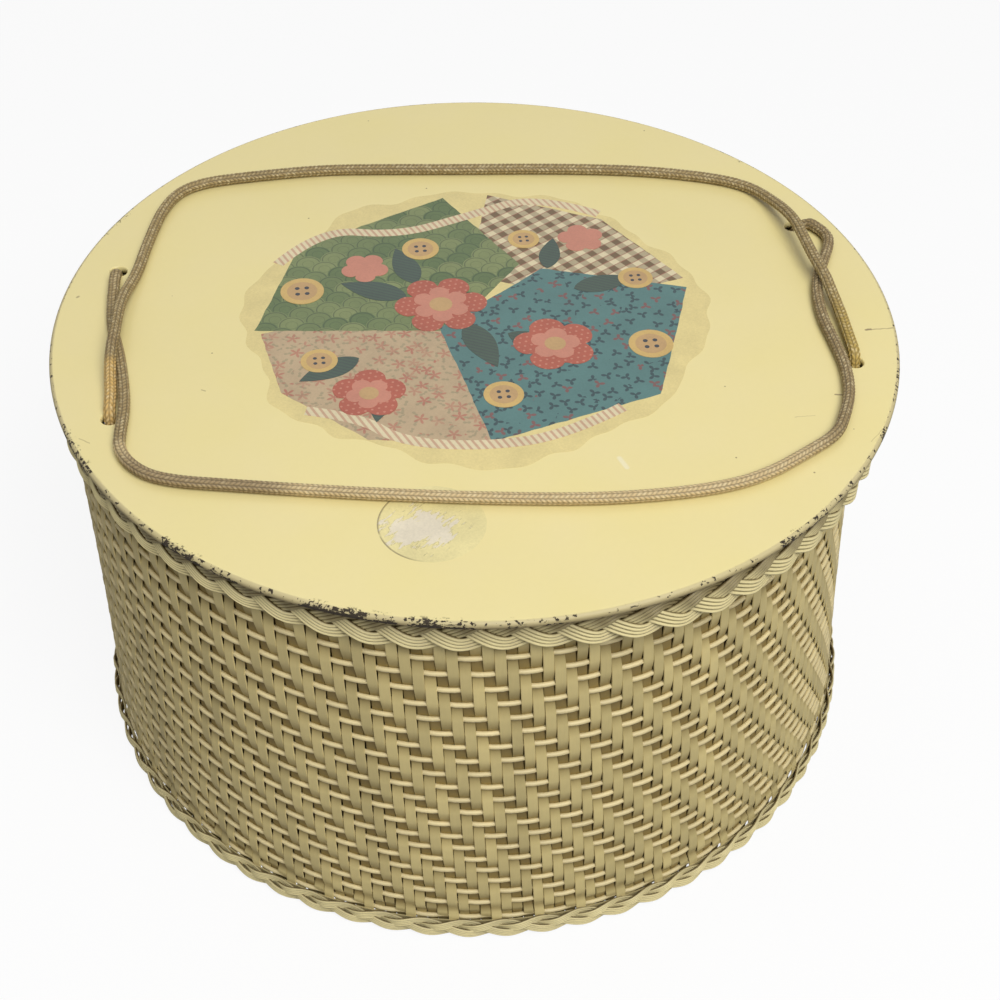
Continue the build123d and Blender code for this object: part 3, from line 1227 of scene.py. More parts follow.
@dataclass
class Lid:
    """The loose board disc with its rounded edge and four cord holes."""

    finish: PaintFinish
    radius: float = LID_RADIUS
    underside: float = LID_UNDERSIDE
    top: float = LID_TOP
    edge_radius: float = 0.0015
    hole_radius: float = 0.0032
    hole_lip: float = 0.0004
    hole_inset: float = 0.016
    hole_angle: float = math.radians(18.25)
    edge_steps: int = 8
    round_steps: int = 360
    hole_steps: int = 32

    def hole(self, right: int, rear: int) -> FlatPoint:
        """Middle of one cord hole, from the signs of its X and Y."""
        reach = self.radius - self.hole_inset
        return right * reach * math.cos(self.hole_angle), rear * reach * math.sin(self.hole_angle)

    @staticmethod
    def _ring(build: bmesh.types.BMesh, middle: Vector, radius: float, z: float, steps: int) -> list:
        """Add a closed ring of edges.

        Args:
            build: The bmesh.
            middle: X and Y of its middle.
            radius: Its radius.
            z: Its height.
            steps: How many vertices it has.

        Returns:
            Its vertices.
        """
        verts = []
        for step in range(steps):
            angle = FULL_TURN * step / steps
            x, y = middle.x + radius * math.cos(angle), middle.y + radius * math.sin(angle)
            verts.append(build.verts.new((x, y, z)))
        for first, second in zip(verts, [*verts[1:], verts[0]]):
            build.edges.new((first, second))
        return verts

    @staticmethod
    def _sheet(build: bmesh.types.BMesh, rings: list[list]) -> None:
        """Fill the flat face inside the first ring and outside the others.

        Args:
            build: The bmesh.
            rings: The rings' vertices.
        """
        edges = []
        for ring in rings:
            edges += [build.edges.get(pair) for pair in zip(ring, [*ring[1:], ring[0]])]
        bmesh.ops.triangle_fill(build, edges=edges, use_beauty=True)

    def _stack(self, build: bmesh.types.BMesh, middle: Vector, levels: list, steps: int) -> list[list]:
        """Add a turned surface: rings one below the other with faces between them.

        Args:
            build: The bmesh.
            middle: X and Y of the axis.
            levels: Radius and height of each ring.
            steps: How many vertices each ring has.

        Returns:
            The rings' vertices.
        """
        rings = [self._ring(build, middle, radius, z, steps) for radius, z in levels]
        for first, second in zip(rings, rings[1:]):
            skirt(build, first, second)
        return rings

    def build(self) -> None:
        """Build the lid, hide its CAD node and put it on the lid's body."""
        build = bmesh.new()
        turns = [math.pi / 2 * (1 - i / self.edge_steps) for i in range(self.edge_steps + 1)]
        shoulder = self.radius - self.edge_radius
        profile = [
            (shoulder + self.edge_radius * math.cos(a), self.top - self.edge_radius * (1 - math.sin(a)))
            for a in turns
        ]
        profile += [(r, self.top + self.underside - z) for r, z in reversed(profile)]
        rim = self._stack(build, Vector((0.0, 0.0)), profile, self.round_steps)
        bore = [
            (self.hole_radius + self.hole_lip, self.top),
            (self.hole_radius, self.top - self.hole_lip),
            (self.hole_radius, self.underside),
        ]
        holes = [
            self._stack(build, Vector(self.hole(right, rear)), bore, self.hole_steps)
            for right in (-1, 1) for rear in (-1, 1)
        ]
        self._sheet(build, [rim[0], *[hole[0] for hole in holes]])
        self._sheet(build, [rim[-1], *[hole[-1] for hole in holes]])
        piece = from_bmesh("lid_board", build, self.finish.material())
        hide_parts("lid_panel")
        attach(piece, Body.LID.value)


# ---------------------------------------------------------------- the paper picture


class Print(Enum):
    """The small printed patterns of the paper cut-outs."""

    PLAIN = "plain"
    SPRIGS = "sprigs"
    SCALES = "scales"
    BLOSSOM = "blossom"
    CHECK = "check"
    DOTS = "dots"
    STRIPES = "stripes"
    SCRAPED = "scraped"


@dataclass(frozen=True)
class PrintFinish:
    """Printed paper under old varnish.

    Attributes:
        name: The material's name.
        pattern: Which pattern it carries.
        ground: Colour of the ground.
        first: Colour of the pattern.
        second: The pattern's second colour.
        pitch: How far the pattern repeats, in metres.
        turn: How far round the pattern is turned, in radians.
        middle: Where the pattern's middle lies, in metres.
        relief: Depth of the varnish's bump, in metres.
    """

    name: str
    pattern: Print
    ground: Colour
    first: Colour = (0.0, 0.0, 0.0)
    second: Colour = (0.0, 0.0, 0.0)
    pitch: float = 0.006
    turn: float = 0.0
    middle: FlatPoint = (0.0, 0.0)
    relief: float = 0.00003

    def material(self) -> bpy.types.Material:
        """Build the material.

        Returns:
            The material.
        """
        bench = ShaderBench(self.name)
        x, y, _ = bench.parts(bench.place)
        x, y = x - self.middle[0], y - self.middle[1]
        across = (x * math.cos(self.turn) + y * math.sin(self.turn)) / self.pitch
        up = (y * math.cos(self.turn) - x * math.sin(self.turn)) / self.pitch
        draw = {
            Print.PLAIN: self._plain,
            Print.SPRIGS: self._sprigs,
            Print.SCALES: self._scales,
            Print.BLOSSOM: self._blossom,
            Print.CHECK: self._check,
            Print.DOTS: self._dots,
            Print.STRIPES: self._stripes,
            Print.SCRAPED: self._scraped,
        }[self.pattern]
        drawn = draw(bench, across, up)
        cloud = bench.noise(bench.stretched(1, 1, 0.01), 70.0, 3.0, 0.6)
        speck = bench.noise(bench.stretched(1, 1, 0.01), 1500.0, 2.0)
        shade = 0.92 + (cloud - 0.5) * 0.35 + (speck - 0.5) * 0.22
        return bench.finish(bench.toned(drawn, shade, 0.97), 0.36, cloud, self.relief)

    def _plain(self, bench: ShaderBench, across: Field, up: Field) -> Field:
        """No pattern."""
        return bench.mix(0.0, self.ground, self.ground)

    def _petals(
        self, bench: ShaderBench, across: Field, up: Field, lobes: int, size: float
    ) -> tuple[Field, Field]:
        """Small lobed figures scattered over the plane, one in each cell.

        Args:
            bench: The material's bench.
            across: Repeats across.
            up: Repeats up.
            lobes: Lobes of each figure.
            size: Reach of a lobe, in repeats.

        Returns:
            Where a figure is, and a random number for each.
        """
        cells = bench.cells(bench.vector(across, up, 0.0), 1.0)
        middle = bench.parts(Field(bench, cells.outputs["Position"]))
        dx, dy = across - middle[0], up - middle[1]
        pick = bench.parts(Field(bench, cells.outputs["Color"]))[0]
        angle = bench.maths("ARCTAN2", dy, dx) * float(lobes) + pick * 40.0
        reach = (angle.cosine() * 0.42 + 0.58) * size
        return 1.0 - (bench.length(dx, dy) / reach).ramp(0.80, 1.0), pick

    def _sprigs(self, bench: ShaderBench, across: Field, up: Field) -> Field:
        """Small dark three-leaved sprigs, one in four of them in the second colour.

        Args:
            bench: The material's bench.
            across: Repeats across.
            up: Repeats up.

        Returns:
            The colour.
        """
        here, pick = self._petals(bench, across, up, 3, 0.40)
        ink = bench.mix(pick.ramp(0.70, 0.72), self.first, self.second)
        return bench.mix(here * 0.9, self.ground, ink)

    def _blossom(self, bench: ShaderBench, across: Field, up: Field) -> Field:
        """Loose five-petalled blossoms with leaves between them.

        Args:
            bench: The material's bench.
            across: Repeats across.
            up: Repeats up.

        Returns:
            The colour.
        """
        here, pick = self._petals(bench, across, up, 5, 0.42)
        leaf, _ = self._petals(bench, across * 1.7 + 5.3, up * 1.7 + 2.1, 2, 0.36)
        drawn = bench.mix(leaf * 0.45, self.ground, self.second)
        return bench.mix(here * (0.35 + pick * 0.45), drawn, self.first)

    def _scales(self, bench: ShaderBench, across: Field, up: Field) -> Field:
        """Rows of overlapping round scales with dark rims.

        Args:
            bench: The material's bench.
            across: Repeats across.
            up: Repeats up.

        Returns:
            The colour.
        """
        row = bench.maths("FLOOR", up * 2.0)
        colour: Any = self.ground
        for offset in (2.0, 1.0, 0.0):
            number = row + offset
            odd = bench.maths("PINGPONG", number, 1.0) * 0.5
            middle = bench.maths("ROUND", across - odd) + odd
            out = bench.length(across - middle, up - number * 0.5)
            where = bench.vector(middle * 3.7, number * 2.9, 0.0)
            tint = bench.noise(where, 1.0, 1.0).ramp(0.36, 0.64)
            ring = out.between(0.41, 0.46, 0.02) + out.between(0.20, 0.23, 0.02) * 0.6
            face = bench.mix(tint, self.ground, self.first)
            scale = bench.mix(ring.within(0.0, 1.0) * 0.55, face, self.second)
            colour = bench.mix(1.0 - out.ramp(0.49, 0.51), colour, scale)
        return colour

    def _check(self, bench: ShaderBench, across: Field, up: Field) -> Field:
        """A woven check of two crossing stripes.

        Args:
            bench: The material's bench.
            across: Repeats across.
            up: Repeats up.

        Returns:
            The colour.
        """
        one = bench.maths("FRACT", across).between(0.25, 0.75, 0.06)
        two = bench.maths("FRACT", up).between(0.25, 0.75, 0.06)
        fine = bench.maths("FRACT", up * 2.0).between(0.42, 0.58, 0.05)
        drawn = bench.mix(one * 0.5 + two * 0.5, self.ground, self.first)
        return bench.mix(fine * 0.6, drawn, self.second)

    def _dots(self, bench: ShaderBench, across: Field, up: Field) -> Field:
        """Small round dots in staggered rows.

        Args:
            bench: The material's bench.
            across: Repeats across.
            up: Repeats up.

        Returns:
            The colour.
        """
        row = bench.maths("FLOOR", up)
        dx = bench.maths("FRACT", across + row * 0.5) - 0.5
        out = bench.length(dx, bench.maths("FRACT", up) - 0.5)
        return bench.mix((1.0 - out.ramp(0.16, 0.22)) * 0.85, self.ground, self.first)

    def _stripes(self, bench: ShaderBench, across: Field, up: Field) -> Field:
        """Fine lines one way."""
        line = bench.maths("FRACT", across).between(0.3, 0.7, 0.12)
        return bench.mix(line * 0.5, self.ground, self.first)

    def _scraped(self, bench: ShaderBench, across: Field, up: Field) -> Field:
        """Paper left in slanting streaks where a round label was scraped off, and the film's dark rim.

        One repeat is the label's radius.

        Args:
            bench: The material's bench.
            across: Repeats across.
            up: Repeats up.

        Returns:
            The colour.
        """
        slant = bench.vector((across + up) * 1.3, (up - across) * 9.0, 0.0)
        streak = bench.noise(slant, 1.0, 3.0, 0.55)
        lump = bench.noise(bench.vector(across * 3.0, up * 3.0, 4.0), 1.0, 2.0, 0.5)
        reach = bench.length((across + 0.22) / 0.78, (up + 0.12) / 0.52)
        left = streak * 0.75 + lump * 0.55 - reach * 0.36 - 0.345
        rim = bench.length(across, up).ramp(0.955, 0.985)
        rim = rim * (0.0 - across).ramp(0.15, 0.7) * lump.ramp(0.25, 0.5)
        drawn = bench.mix(left.ramp(0.0, 0.03) * 0.8, self.ground, self.first)
        torn = left.between(-0.012, 0.004, 0.012) * 0.45
        return bench.mix(bench.greater(torn, rim * 0.75), drawn, self.second)


@dataclass
class PaperPicture:
    """A patchwork-and-flowers picture of cut paper, stuck to the middle of the lid.

    Shapes are given in millimetres on the lid, and each level is how high a face lies above it.
    """

    top: float
    sunk: float = 0.00003
    seed: int = 8
    label: FlatPoint = (-27.1, -106.6)
    label_radius: float = 17.4
    waver: float = 0.22
    cut_length: float = 3.0
    margin_steps: int = 240
    margin_waver: float = 0.45
    ribbon_width: float = 4.6
    red: Colour = (0.42, 0.105, 0.065)
    rose: Colour = (0.56, 0.23, 0.16)
    cream: Colour = (0.74, 0.64, 0.42)
    char: Colour = (0.035, 0.040, 0.050)
    blooms: tuple[FlatPoint, ...] = ((-12, 8), (26, -20), (-42, -40))
    buttons: tuple[tuple[float, float, float], ...] = (
        (-62, 22, 8), (-16, 44, 7), (60, -24, 8), (4, -46, 7), (62, 16, 6.5), (-58, -20, 6.5), (24, 46, 6),
    )

    def spots(self, middle: FlatPoint, points: Iterable[FlatPoint]) -> Outline:
        """Points in millimetres about a middle, as metres on the lid."""
        return [((middle[0] + x) / 1000, (middle[1] + y) / 1000) for x, y in points]

    def flower(self, x: float, y: float, size: float, petals: int = 5, turn: float = 0.0) -> Outline:
        """A flower's outline, with round petals.

        Args:
            x: X of its middle.
            y: Y of its middle.
            size: Reach of a petal.
            petals: How many petals.
            turn: How far round it is turned, in radians.

        Returns:
            The outline.
        """
        points = []
        for step in range(72):
            angle = FULL_TURN * step / 72
            reach = size * (0.66 + 0.34 * abs(math.cos(petals * angle / 2)) ** 0.55)
            points.append((reach * math.cos(angle + turn), reach * math.sin(angle + turn)))
        return self.spots((x, y), points)

    def disc(self, x: float, y: float, size: float) -> Outline:
        """A round outline."""
        return self.flower(x, y, size, petals=0)

    def leaf(self, x: float, y: float, length: float, width: float, turn: float) -> Outline:
        """A leaf from its stalk at a place, pointing along an angle.

        Args:
            x: X of the stalk.
            y: Y of the stalk.
            length: The leaf's length.
            width: Its width.
            turn: Its direction, in radians.

        Returns:
            The outline.
        """
        points = []
        for step in range(40):
            t = step / 20
            side = 1 if t < 1 else -1
            share = t if t < 1 else 2 - t
            wide = side * width / 2 * math.sin(math.pi * share**0.8) ** 0.9
            tip = complex(share * length, wide) * complex(math.cos(turn), math.sin(turn))
            points.append((tip.real, tip.imag))
        return self.spots((x, y), points)

    def ribbon(self, points: list[FlatPoint]) -> Outline:
        """A wavy ribbon of even width along a smooth line.

        Args:
            points: The line's control points.

        Returns:
            The outline.
        """
        line = smooth_route("ribbon", [(x / 1000, y / 1000, 0.0) for x, y in points])
        left, right = [], []
        for before, here, after in zip(line, line[1:], line[2:]):
            way = (after - before).normalized() * (self.ribbon_width / 2000)
            left.append((here.x - way.y, here.y + way.x))
            right.append((here.x + way.y, here.y - way.x))
        return [*left, *right[::-1]]

    def patch(self, corners: list[FlatPoint]) -> Outline:
        """A cut of cloth with slightly wavering edges.

        Args:
            corners: Its corners.

        Returns:
            The outline.
        """
        rng = random.Random(self.seed + len(corners) * int(corners[0][0] + 200))
        outline = []
        for (x0, y0), (x1, y1) in zip(corners, [*corners[1:], corners[0]]):
            count = max(int(math.hypot(x1 - x0, y1 - y0) / self.cut_length), 2)
            for step in range(count):
                t = step / count
                x = x0 + (x1 - x0) * t + rng.uniform(-self.waver, self.waver)
                y = y0 + (y1 - y0) * t + rng.uniform(-self.waver, self.waver)
                outline.append((x / 1000, y / 1000))
        return outline

    def margin(self, reaches: list[float]) -> Outline:
        """The cut edge of the whole paper.

        Args:
            reaches: How far it reaches at even angles, joined smoothly.

        Returns:
            The outline.
        """
        rng = random.Random(self.seed)
        count = len(reaches)
        waves = [(rng.uniform(0.5, 1.0), rng.randint(17, 46), rng.uniform(0, 6.28)) for _ in range(5)]
        outline = []
        for step in range(self.margin_steps):
            place = step / self.margin_steps * count
            first = int(place)
            t = (1 - math.cos(math.pi * (place - first))) / 2
            reach = reaches[first % count] * (1 - t) + reaches[(first + 1) % count] * t
            angle = FULL_TURN * step / self.margin_steps
            waves_here = sum(size * math.sin(number * angle + phase) for size, number, phase in waves)
            reach += self.margin_waver * waves_here
            outline.append((reach / 1000 * math.cos(angle), reach / 1000 * math.sin(angle)))
        return outline

    def cut(self, name: str, finish: PrintFinish, *layers: tuple[float, list[Outline]]) -> None:
        """Lay thin cut-outs of one print on the lid, as one piece.

        Args:
            name: The piece's name.
            finish: Their print.
            layers: Outlines, with how high their faces lie.
        """
        build = bmesh.new()
        for level, outline in [(level, outline) for level, outlines in layers for outline in outlines]:
            lower = [build.verts.new((x, y, self.top - self.sunk)) for x, y in outline]
            upper = [build.verts.new((x, y, self.top + level / 1000)) for x, y in outline]
            skirt(build, lower, upper, smooth=False)
            for ring in (lower[::-1], upper):
                cap = build.faces.new(ring)
                cap.normal_update()
                bmesh.ops.triangulate(build, faces=[cap])
        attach(from_bmesh(name, build, finish.material()), Body.LID.value)

    def build(self) -> None:
        """Build the picture, layer on layer."""
        self.paper()
        self.cloths()
        self.leaves()
        self.flowers()
        self.sewn_buttons()

    def paper(self) -> None:
        """The picture's paper and the remains of a round label."""
        reaches = [
            86, 84, 80, 82, 84, 80, 82, 80, 84, 78, 82, 86,
            84, 80, 86, 82, 78, 82, 84, 80, 78, 82, 80, 84,
        ]
        paper = PrintFinish("paper_margin", Print.PLAIN, (0.76, 0.63, 0.285))
        self.cut("picture_paper", paper, (0.04, [self.margin(reaches)]))
        scraped = PrintFinish(
            "label_remains", Print.SCRAPED, (0.800, 0.700, 0.345), (0.78, 0.70, 0.60), (0.20, 0.15, 0.07),
            pitch=self.label_radius / 1000, middle=(self.label[0] / 1000, self.label[1] / 1000),
        )
        self.cut("label_remains", scraped, (0.03, [self.disc(*self.label, self.label_radius)]))

    def cloths(self) -> None:
        """The four patches of printed cloth and the two ribbons over them."""
        teal = PrintFinish(
            "print_sprigs", Print.SPRIGS, (0.085, 0.19, 0.185), (0.020, 0.045, 0.055), (0.20, 0.075, 0.07),
            pitch=0.0060, turn=0.3,
        )
        moss = PrintFinish(
            "print_scales", Print.SCALES, (0.10, 0.15, 0.055), (0.21, 0.25, 0.10), (0.025, 0.045, 0.025),
            pitch=0.0100, turn=0.2,
        )
        rose = PrintFinish(
            "print_blossom", Print.BLOSSOM, (0.50, 0.37, 0.23), (0.42, 0.13, 0.09), (0.21, 0.21, 0.12),
            pitch=0.0072, turn=0.9,
        )
        check = PrintFinish(
            "print_check", Print.CHECK, self.cream, (0.16, 0.10, 0.045), (0.30, 0.08, 0.05),
            pitch=0.0062, turn=0.55,
        )
        patches = [
            ("picture_teal", 0.08, [(-3, -70), (58, -52), (80, 8), (28, 26), (-14, -6)], teal),
            ("picture_moss", 0.07, [(-80, 0), (-62, 50), (-4, 78), (20, 30), (-10, -8)], moss),
            ("picture_rose", 0.06, [(-72, -36), (-44, -64), (1, -72), (10, -20), (-22, 10), (-78, -2)], rose),
            ("picture_check", 0.06, [(0, 26), (14, 78), (56, 56), (80, 14), (40, 4)], check),
        ]
        for name, level, corners, finish in patches:
            self.cut(name, finish, (level, [self.patch(corners)]))
        ribbons = [
            [(-72, 38), (-54, 62), (-24, 54), (4, 64), (34, 76), (58, 58)],
            [(-66, -46), (-46, -52), (-34, -66), (-8, -72), (22, -70), (46, -56)],
        ]
        stripes = PrintFinish(
            "print_stripes", Print.STRIPES, self.cream, self.red, self.cream, pitch=0.0023, turn=0.4
        )
        self.cut("picture_ribbon", stripes, (0.12, [self.ribbon(line) for line in ribbons]))

    def leaves(self) -> None:
        """The dark leaves under the flowers: stalk, length, width and direction of each."""
        leaves = [
            (-24, 14, 26, 11, 2.7), (-20, 22, 24, 10, 1.8), (-4, -4, 28, 11, 5.0), (10, -12, 26, 10, 5.7),
            (38, 12, 24, 10, 0.2), (-44, -20, 24, 10, 3.6), (-36, -34, 22, 9, 4.5), (30, 26, 20, 8, 1.3),
        ]
        veined = PrintFinish(
            "print_leaves", Print.STRIPES, (0.050, 0.085, 0.060), self.char, self.char, pitch=0.0016, turn=1.1
        )
        self.cut("picture_leaves", veined, (0.15, [self.leaf(*leaf) for leaf in leaves]))

    def flowers(self) -> None:
        """Three large flowers with a rosette on each, and two small ones alone."""
        first, second, third = self.blooms
        dotted = PrintFinish("print_dots", Print.DOTS, self.red, self.rose, self.rose, pitch=0.0024, turn=0.2)
        large = [(*first, 17, 6), (*second, 15, 5, 0.5), (*third, 13, 5, 0.2)]
        rosettes = [(*first, 10.5, 6, 0.5), (*second, 9, 5, 0.1), (*third, 8, 5, 0.8)]
        alone = [(46, 44, 9, 5, 0.4), (-38, 34, 9, 5, 0.9)]
        self.cut("picture_flowers", dotted, (0.19, [self.flower(*flower) for flower in large]))
        self.cut(
            "picture_rosettes",
            PrintFinish("print_rose", Print.PLAIN, self.rose),
            (0.22, [self.flower(*flower) for flower in rosettes]),
            (0.19, [self.flower(*flower) for flower in alone]),
        )

    def sewn_buttons(self) -> None:
        """Buttons with sunk wells and four eyes each, and the flowers' middles."""
        horn = PrintFinish("print_buttons", Print.PLAIN, (0.62, 0.42, 0.15))
        self.cut("picture_buttons", horn, (0.20, [self.disc(*button) for button in self.buttons]))
        self.cut(
            "picture_wells",
            PrintFinish("print_wells", Print.PLAIN, (0.52, 0.33, 0.15)),
            (0.22, [self.disc(x, y, size * 0.70) for x, y, size in self.buttons]),
            (0.25, [self.disc(*bloom, size) for bloom, size in zip(self.blooms, (4.2, 3.8, 3.4))]),
        )
        eyes = [
            self.disc(x + dx * size * 0.22, y + dy * size * 0.22, size * 0.11)
            for x, y, size in self.buttons for dx in (-1, 1) for dy in (-1, 1)
        ]
        self.cut("picture_eyes", PrintFinish("print_eyes", Print.PLAIN, self.char), (0.24, eyes))


# ---------------------------------------------------------------- cords


@dataclass(frozen=True)
class Braid:
    """The relief of a round braided cord: columns of slanting stitches, in pairs that mirror."""

    radius: float = 0.00215
    relief: float = 0.00038
    columns: int = 8
    stitch: float = 0.00165
    slant: float = 0.85
    sides: int = 48
    step: float = 0.00035

    def ring_height(self, along: float, angle: float) -> float:
        """How proud the braid stands at a place, from 0 to 1.

        Args:
            along: Distance along the cord, in metres.
            angle: Angle about it, in radians.

        Returns:
            The height.
        """
        across = angle / FULL_TURN * self.columns
        column = math.floor(across)
        inside = across - column
        sign = 1 if column % 2 else -1
        phase = along / self.stitch + sign * self.slant * (inside - 0.5) + 0.5 * (column % 4 // 2)
        thread = abs(math.sin(math.pi * phase))
        return thread**0.7 * math.sin(math.pi * inside) ** 0.35


def smooth_route(name: str, points: Iterable[Point]) -> list[Vector]:
    """Points along the smooth curve whose control points are a cord's route.

    Args:
        name: A name for the curve while it is made.
        points: The route, in metres.

    Returns:
        Points along the curve.
    """
    curve = bpy.data.curves.new(name + "_route", "CURVE")
    curve.dimensions = "3D"
    curve.resolution_u = 16
    spline = curve.splines.new("NURBS")
    points = list(points)
    spline.points.add(len(points) - 1)
    for target, point in zip(spline.points, points):
        target.co = (*point, 1.0)
    spline.order_u = 3
    spline.use_endpoint_u = True
    holder = bpy.data.objects.new(name + "_route", curve)
    bpy.context.scene.collection.objects.link(holder)
    depsgraph = bpy.context.evaluated_depsgraph_get()
    line = bpy.data.meshes.new_from_object(holder.evaluated_get(depsgraph), depsgraph=depsgraph)
    found = [vert.co.copy() for vert in line.vertices]
    bpy.data.objects.remove(holder)
    bpy.data.curves.remove(curve)
    bpy.data.meshes.remove(line)
    return found


def evenly(points: list[Vector], step: float) -> list[Vector]:
    """Points at even distances along a line of points.

    Args:
        points: The line.
        step: About how far apart.

    Returns:
        The new points, with the same ends.
    """
    runs = [(b - a).length for a, b in zip(points, points[1:])]
    count = max(int(round(sum(runs) / step)), 2)
    spacing = sum(runs) / count
    found, index, gone = [points[0].copy()], 0, 0.0
    for number in range(1, count):
        want = number * spacing
        while gone + runs[index] < want:
            gone += runs[index]
            index += 1
        found.append(points[index].lerp(points[index + 1], (want - gone) / runs[index]))
    return [*found, points[-1].copy()]


def length_of(points: list[Vector]) -> float:
    """Length of a line of points."""
    return sum((b - a).length for a, b in zip(points, points[1:]))


def braided_tube(
    name: str, points: list[Vector], braid: Braid, material: bpy.types.Material
) -> bpy.types.Object:
    """A closed braided tube along a line of points.

    Args:
        name: The piece's name.
        points: The line it follows.
        braid: Its section and relief.
        material: Its material.

    Returns:
        The piece.
    """
    build = bmesh.new()
    proud = build.verts.layers.float.new("proud")
    chart = build.loops.layers.uv.new("UVMap")
    whole = length_of(points)
    rings, places, gone = [], [], 0.0
    normal = Vector((0.0, 0.0, 1.0))
    for index, here in enumerate(points):
        before, after = points[max(index - 1, 0)], points[min(index + 1, len(points) - 1)]
        tangent = (after - before).normalized()
        if index == 0:
            normal = tangent.orthogonal().normalized()
        else:
            gone += (here - points[index - 1]).length
            normal = (normal - tangent * normal.dot(tangent)).normalized()
        binormal = tangent.cross(normal)
        ring = []
        for side in range(braid.sides):
            angle = FULL_TURN * side / braid.sides
            height = braid.ring_height(gone, angle)
            reach = braid.radius - braid.relief * (1 - height)
            vert = build.verts.new(here + (normal * math.cos(angle) + binormal * math.sin(angle)) * reach)
            vert[proud] = height
            ring.append(vert)
        rings.append(ring)
        places.append(gone / whole)
    for (first, here), (second, there) in zip(zip(rings, places), zip(rings[1:], places[1:])):
        for side, face in enumerate(skirt(build, first, second)):
            corners = ((here, side), (here, side + 1), (there, side + 1), (there, side))
            for loop, (along, around) in zip(face.loops, corners):
                loop[chart].uv = (along, around / braid.sides)
    for ring, along in ((rings[0][::-1], 0.0), (rings[-1], 1.0)):
        cap = build.faces.new(ring)
        for loop in cap.loops:
            loop[chart].uv = (along, 0.5)
    return from_bmesh(name, build, material)


@dataclass
class HandleCord:
    """One cord loop on the lid, through its pair of holes.

    It leaves a hole steeply, bends over the lid's top and goes on along its route. The exit's
    shares say how far towards the route's first point each of those places lies.
    """

    name: str
    node: str
    body: Body
    side: Side
    lid: Lid
    wall: WallForm
    finish: CordFinish
    route: list[Point]
    braid: Braid = field(default_factory=Braid)
    lean: float = -0.0004
    exit_straight: float = -0.0016
    exit_turn: float = 0.0009
    exit_shares: tuple[float, float, float] = (0.10, 0.25, 0.48)
    exit_reach: float = 0.0042
    rear_push: float = 1.35
    exit_height: float = 0.0022
    lie: float = 0.0023
    swing_start: float = 0.0005
    swing_run: float = 0.011

    def hole(self, right: bool) -> Vector:
        """Where the cord passes its left or right hole: a little off its middle, along the radius.

        Args:
            right: Whether it is the right hole.

        Returns:
            The place, at height 0.
        """
        place = Vector((*self.lid.hole(1 if right else -1, self.side.value), 0.0))
        axis = Vector((self.wall.rim_shift, 0.0, 0.0))
        return place - (place - axis).normalized() * self.lean

    def leaving(self, right: bool, towards: Point) -> list[Point]:
        """The route's points through a hole, from the lid's underside up and over.

        Args:
            right: Whether it is the right hole.
            towards: Where the route goes from there.

        Returns:
            The points.
        """
        hole = self.hole(right)
        way = Vector((towards[0] - hole.x, towards[1] - hole.y, 0.0)).normalized()
        way *= self.exit_reach * (self.rear_push if self.side is Side.REAR else 1.0)
        top = self.lid.top
        heights = (self.lid.underside, top + self.exit_straight, top + self.exit_turn, top + self.exit_height)
        places = zip((*self.exit_shares, 1.0), heights)
        return [(hole.x + way.x * share, hole.y + way.y * share, z) for share, z in places]

    def build(self) -> None:
        """Build the loop as one braided tube from hole to hole and hide its CAD node."""
        laid = [(x / 1000, y / 1000, self.lid.top + self.lie + lift / 1000) for x, y, lift in self.route]
        points = self.leaving(False, laid[0]) + laid + self.leaving(True, laid[-1])[::-1]
        line = evenly(smooth_route(self.name, points), self.braid.step)
        piece = braided_tube(self.name, line, self.braid, self.finish.material())
        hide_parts(self.node)
        2 * self.braid.radius
        y, z = self.lid.hole(1, self.side.value)[1], self.lid.top + self.lie
        start = (0.0, y + self.side.value * self.swing_start, z)
        end = (0.0, y - self.side.value * self.swing_run, z)
        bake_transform(piece)
        log.info("%s is %.4f m long", self.name, length_of(line))


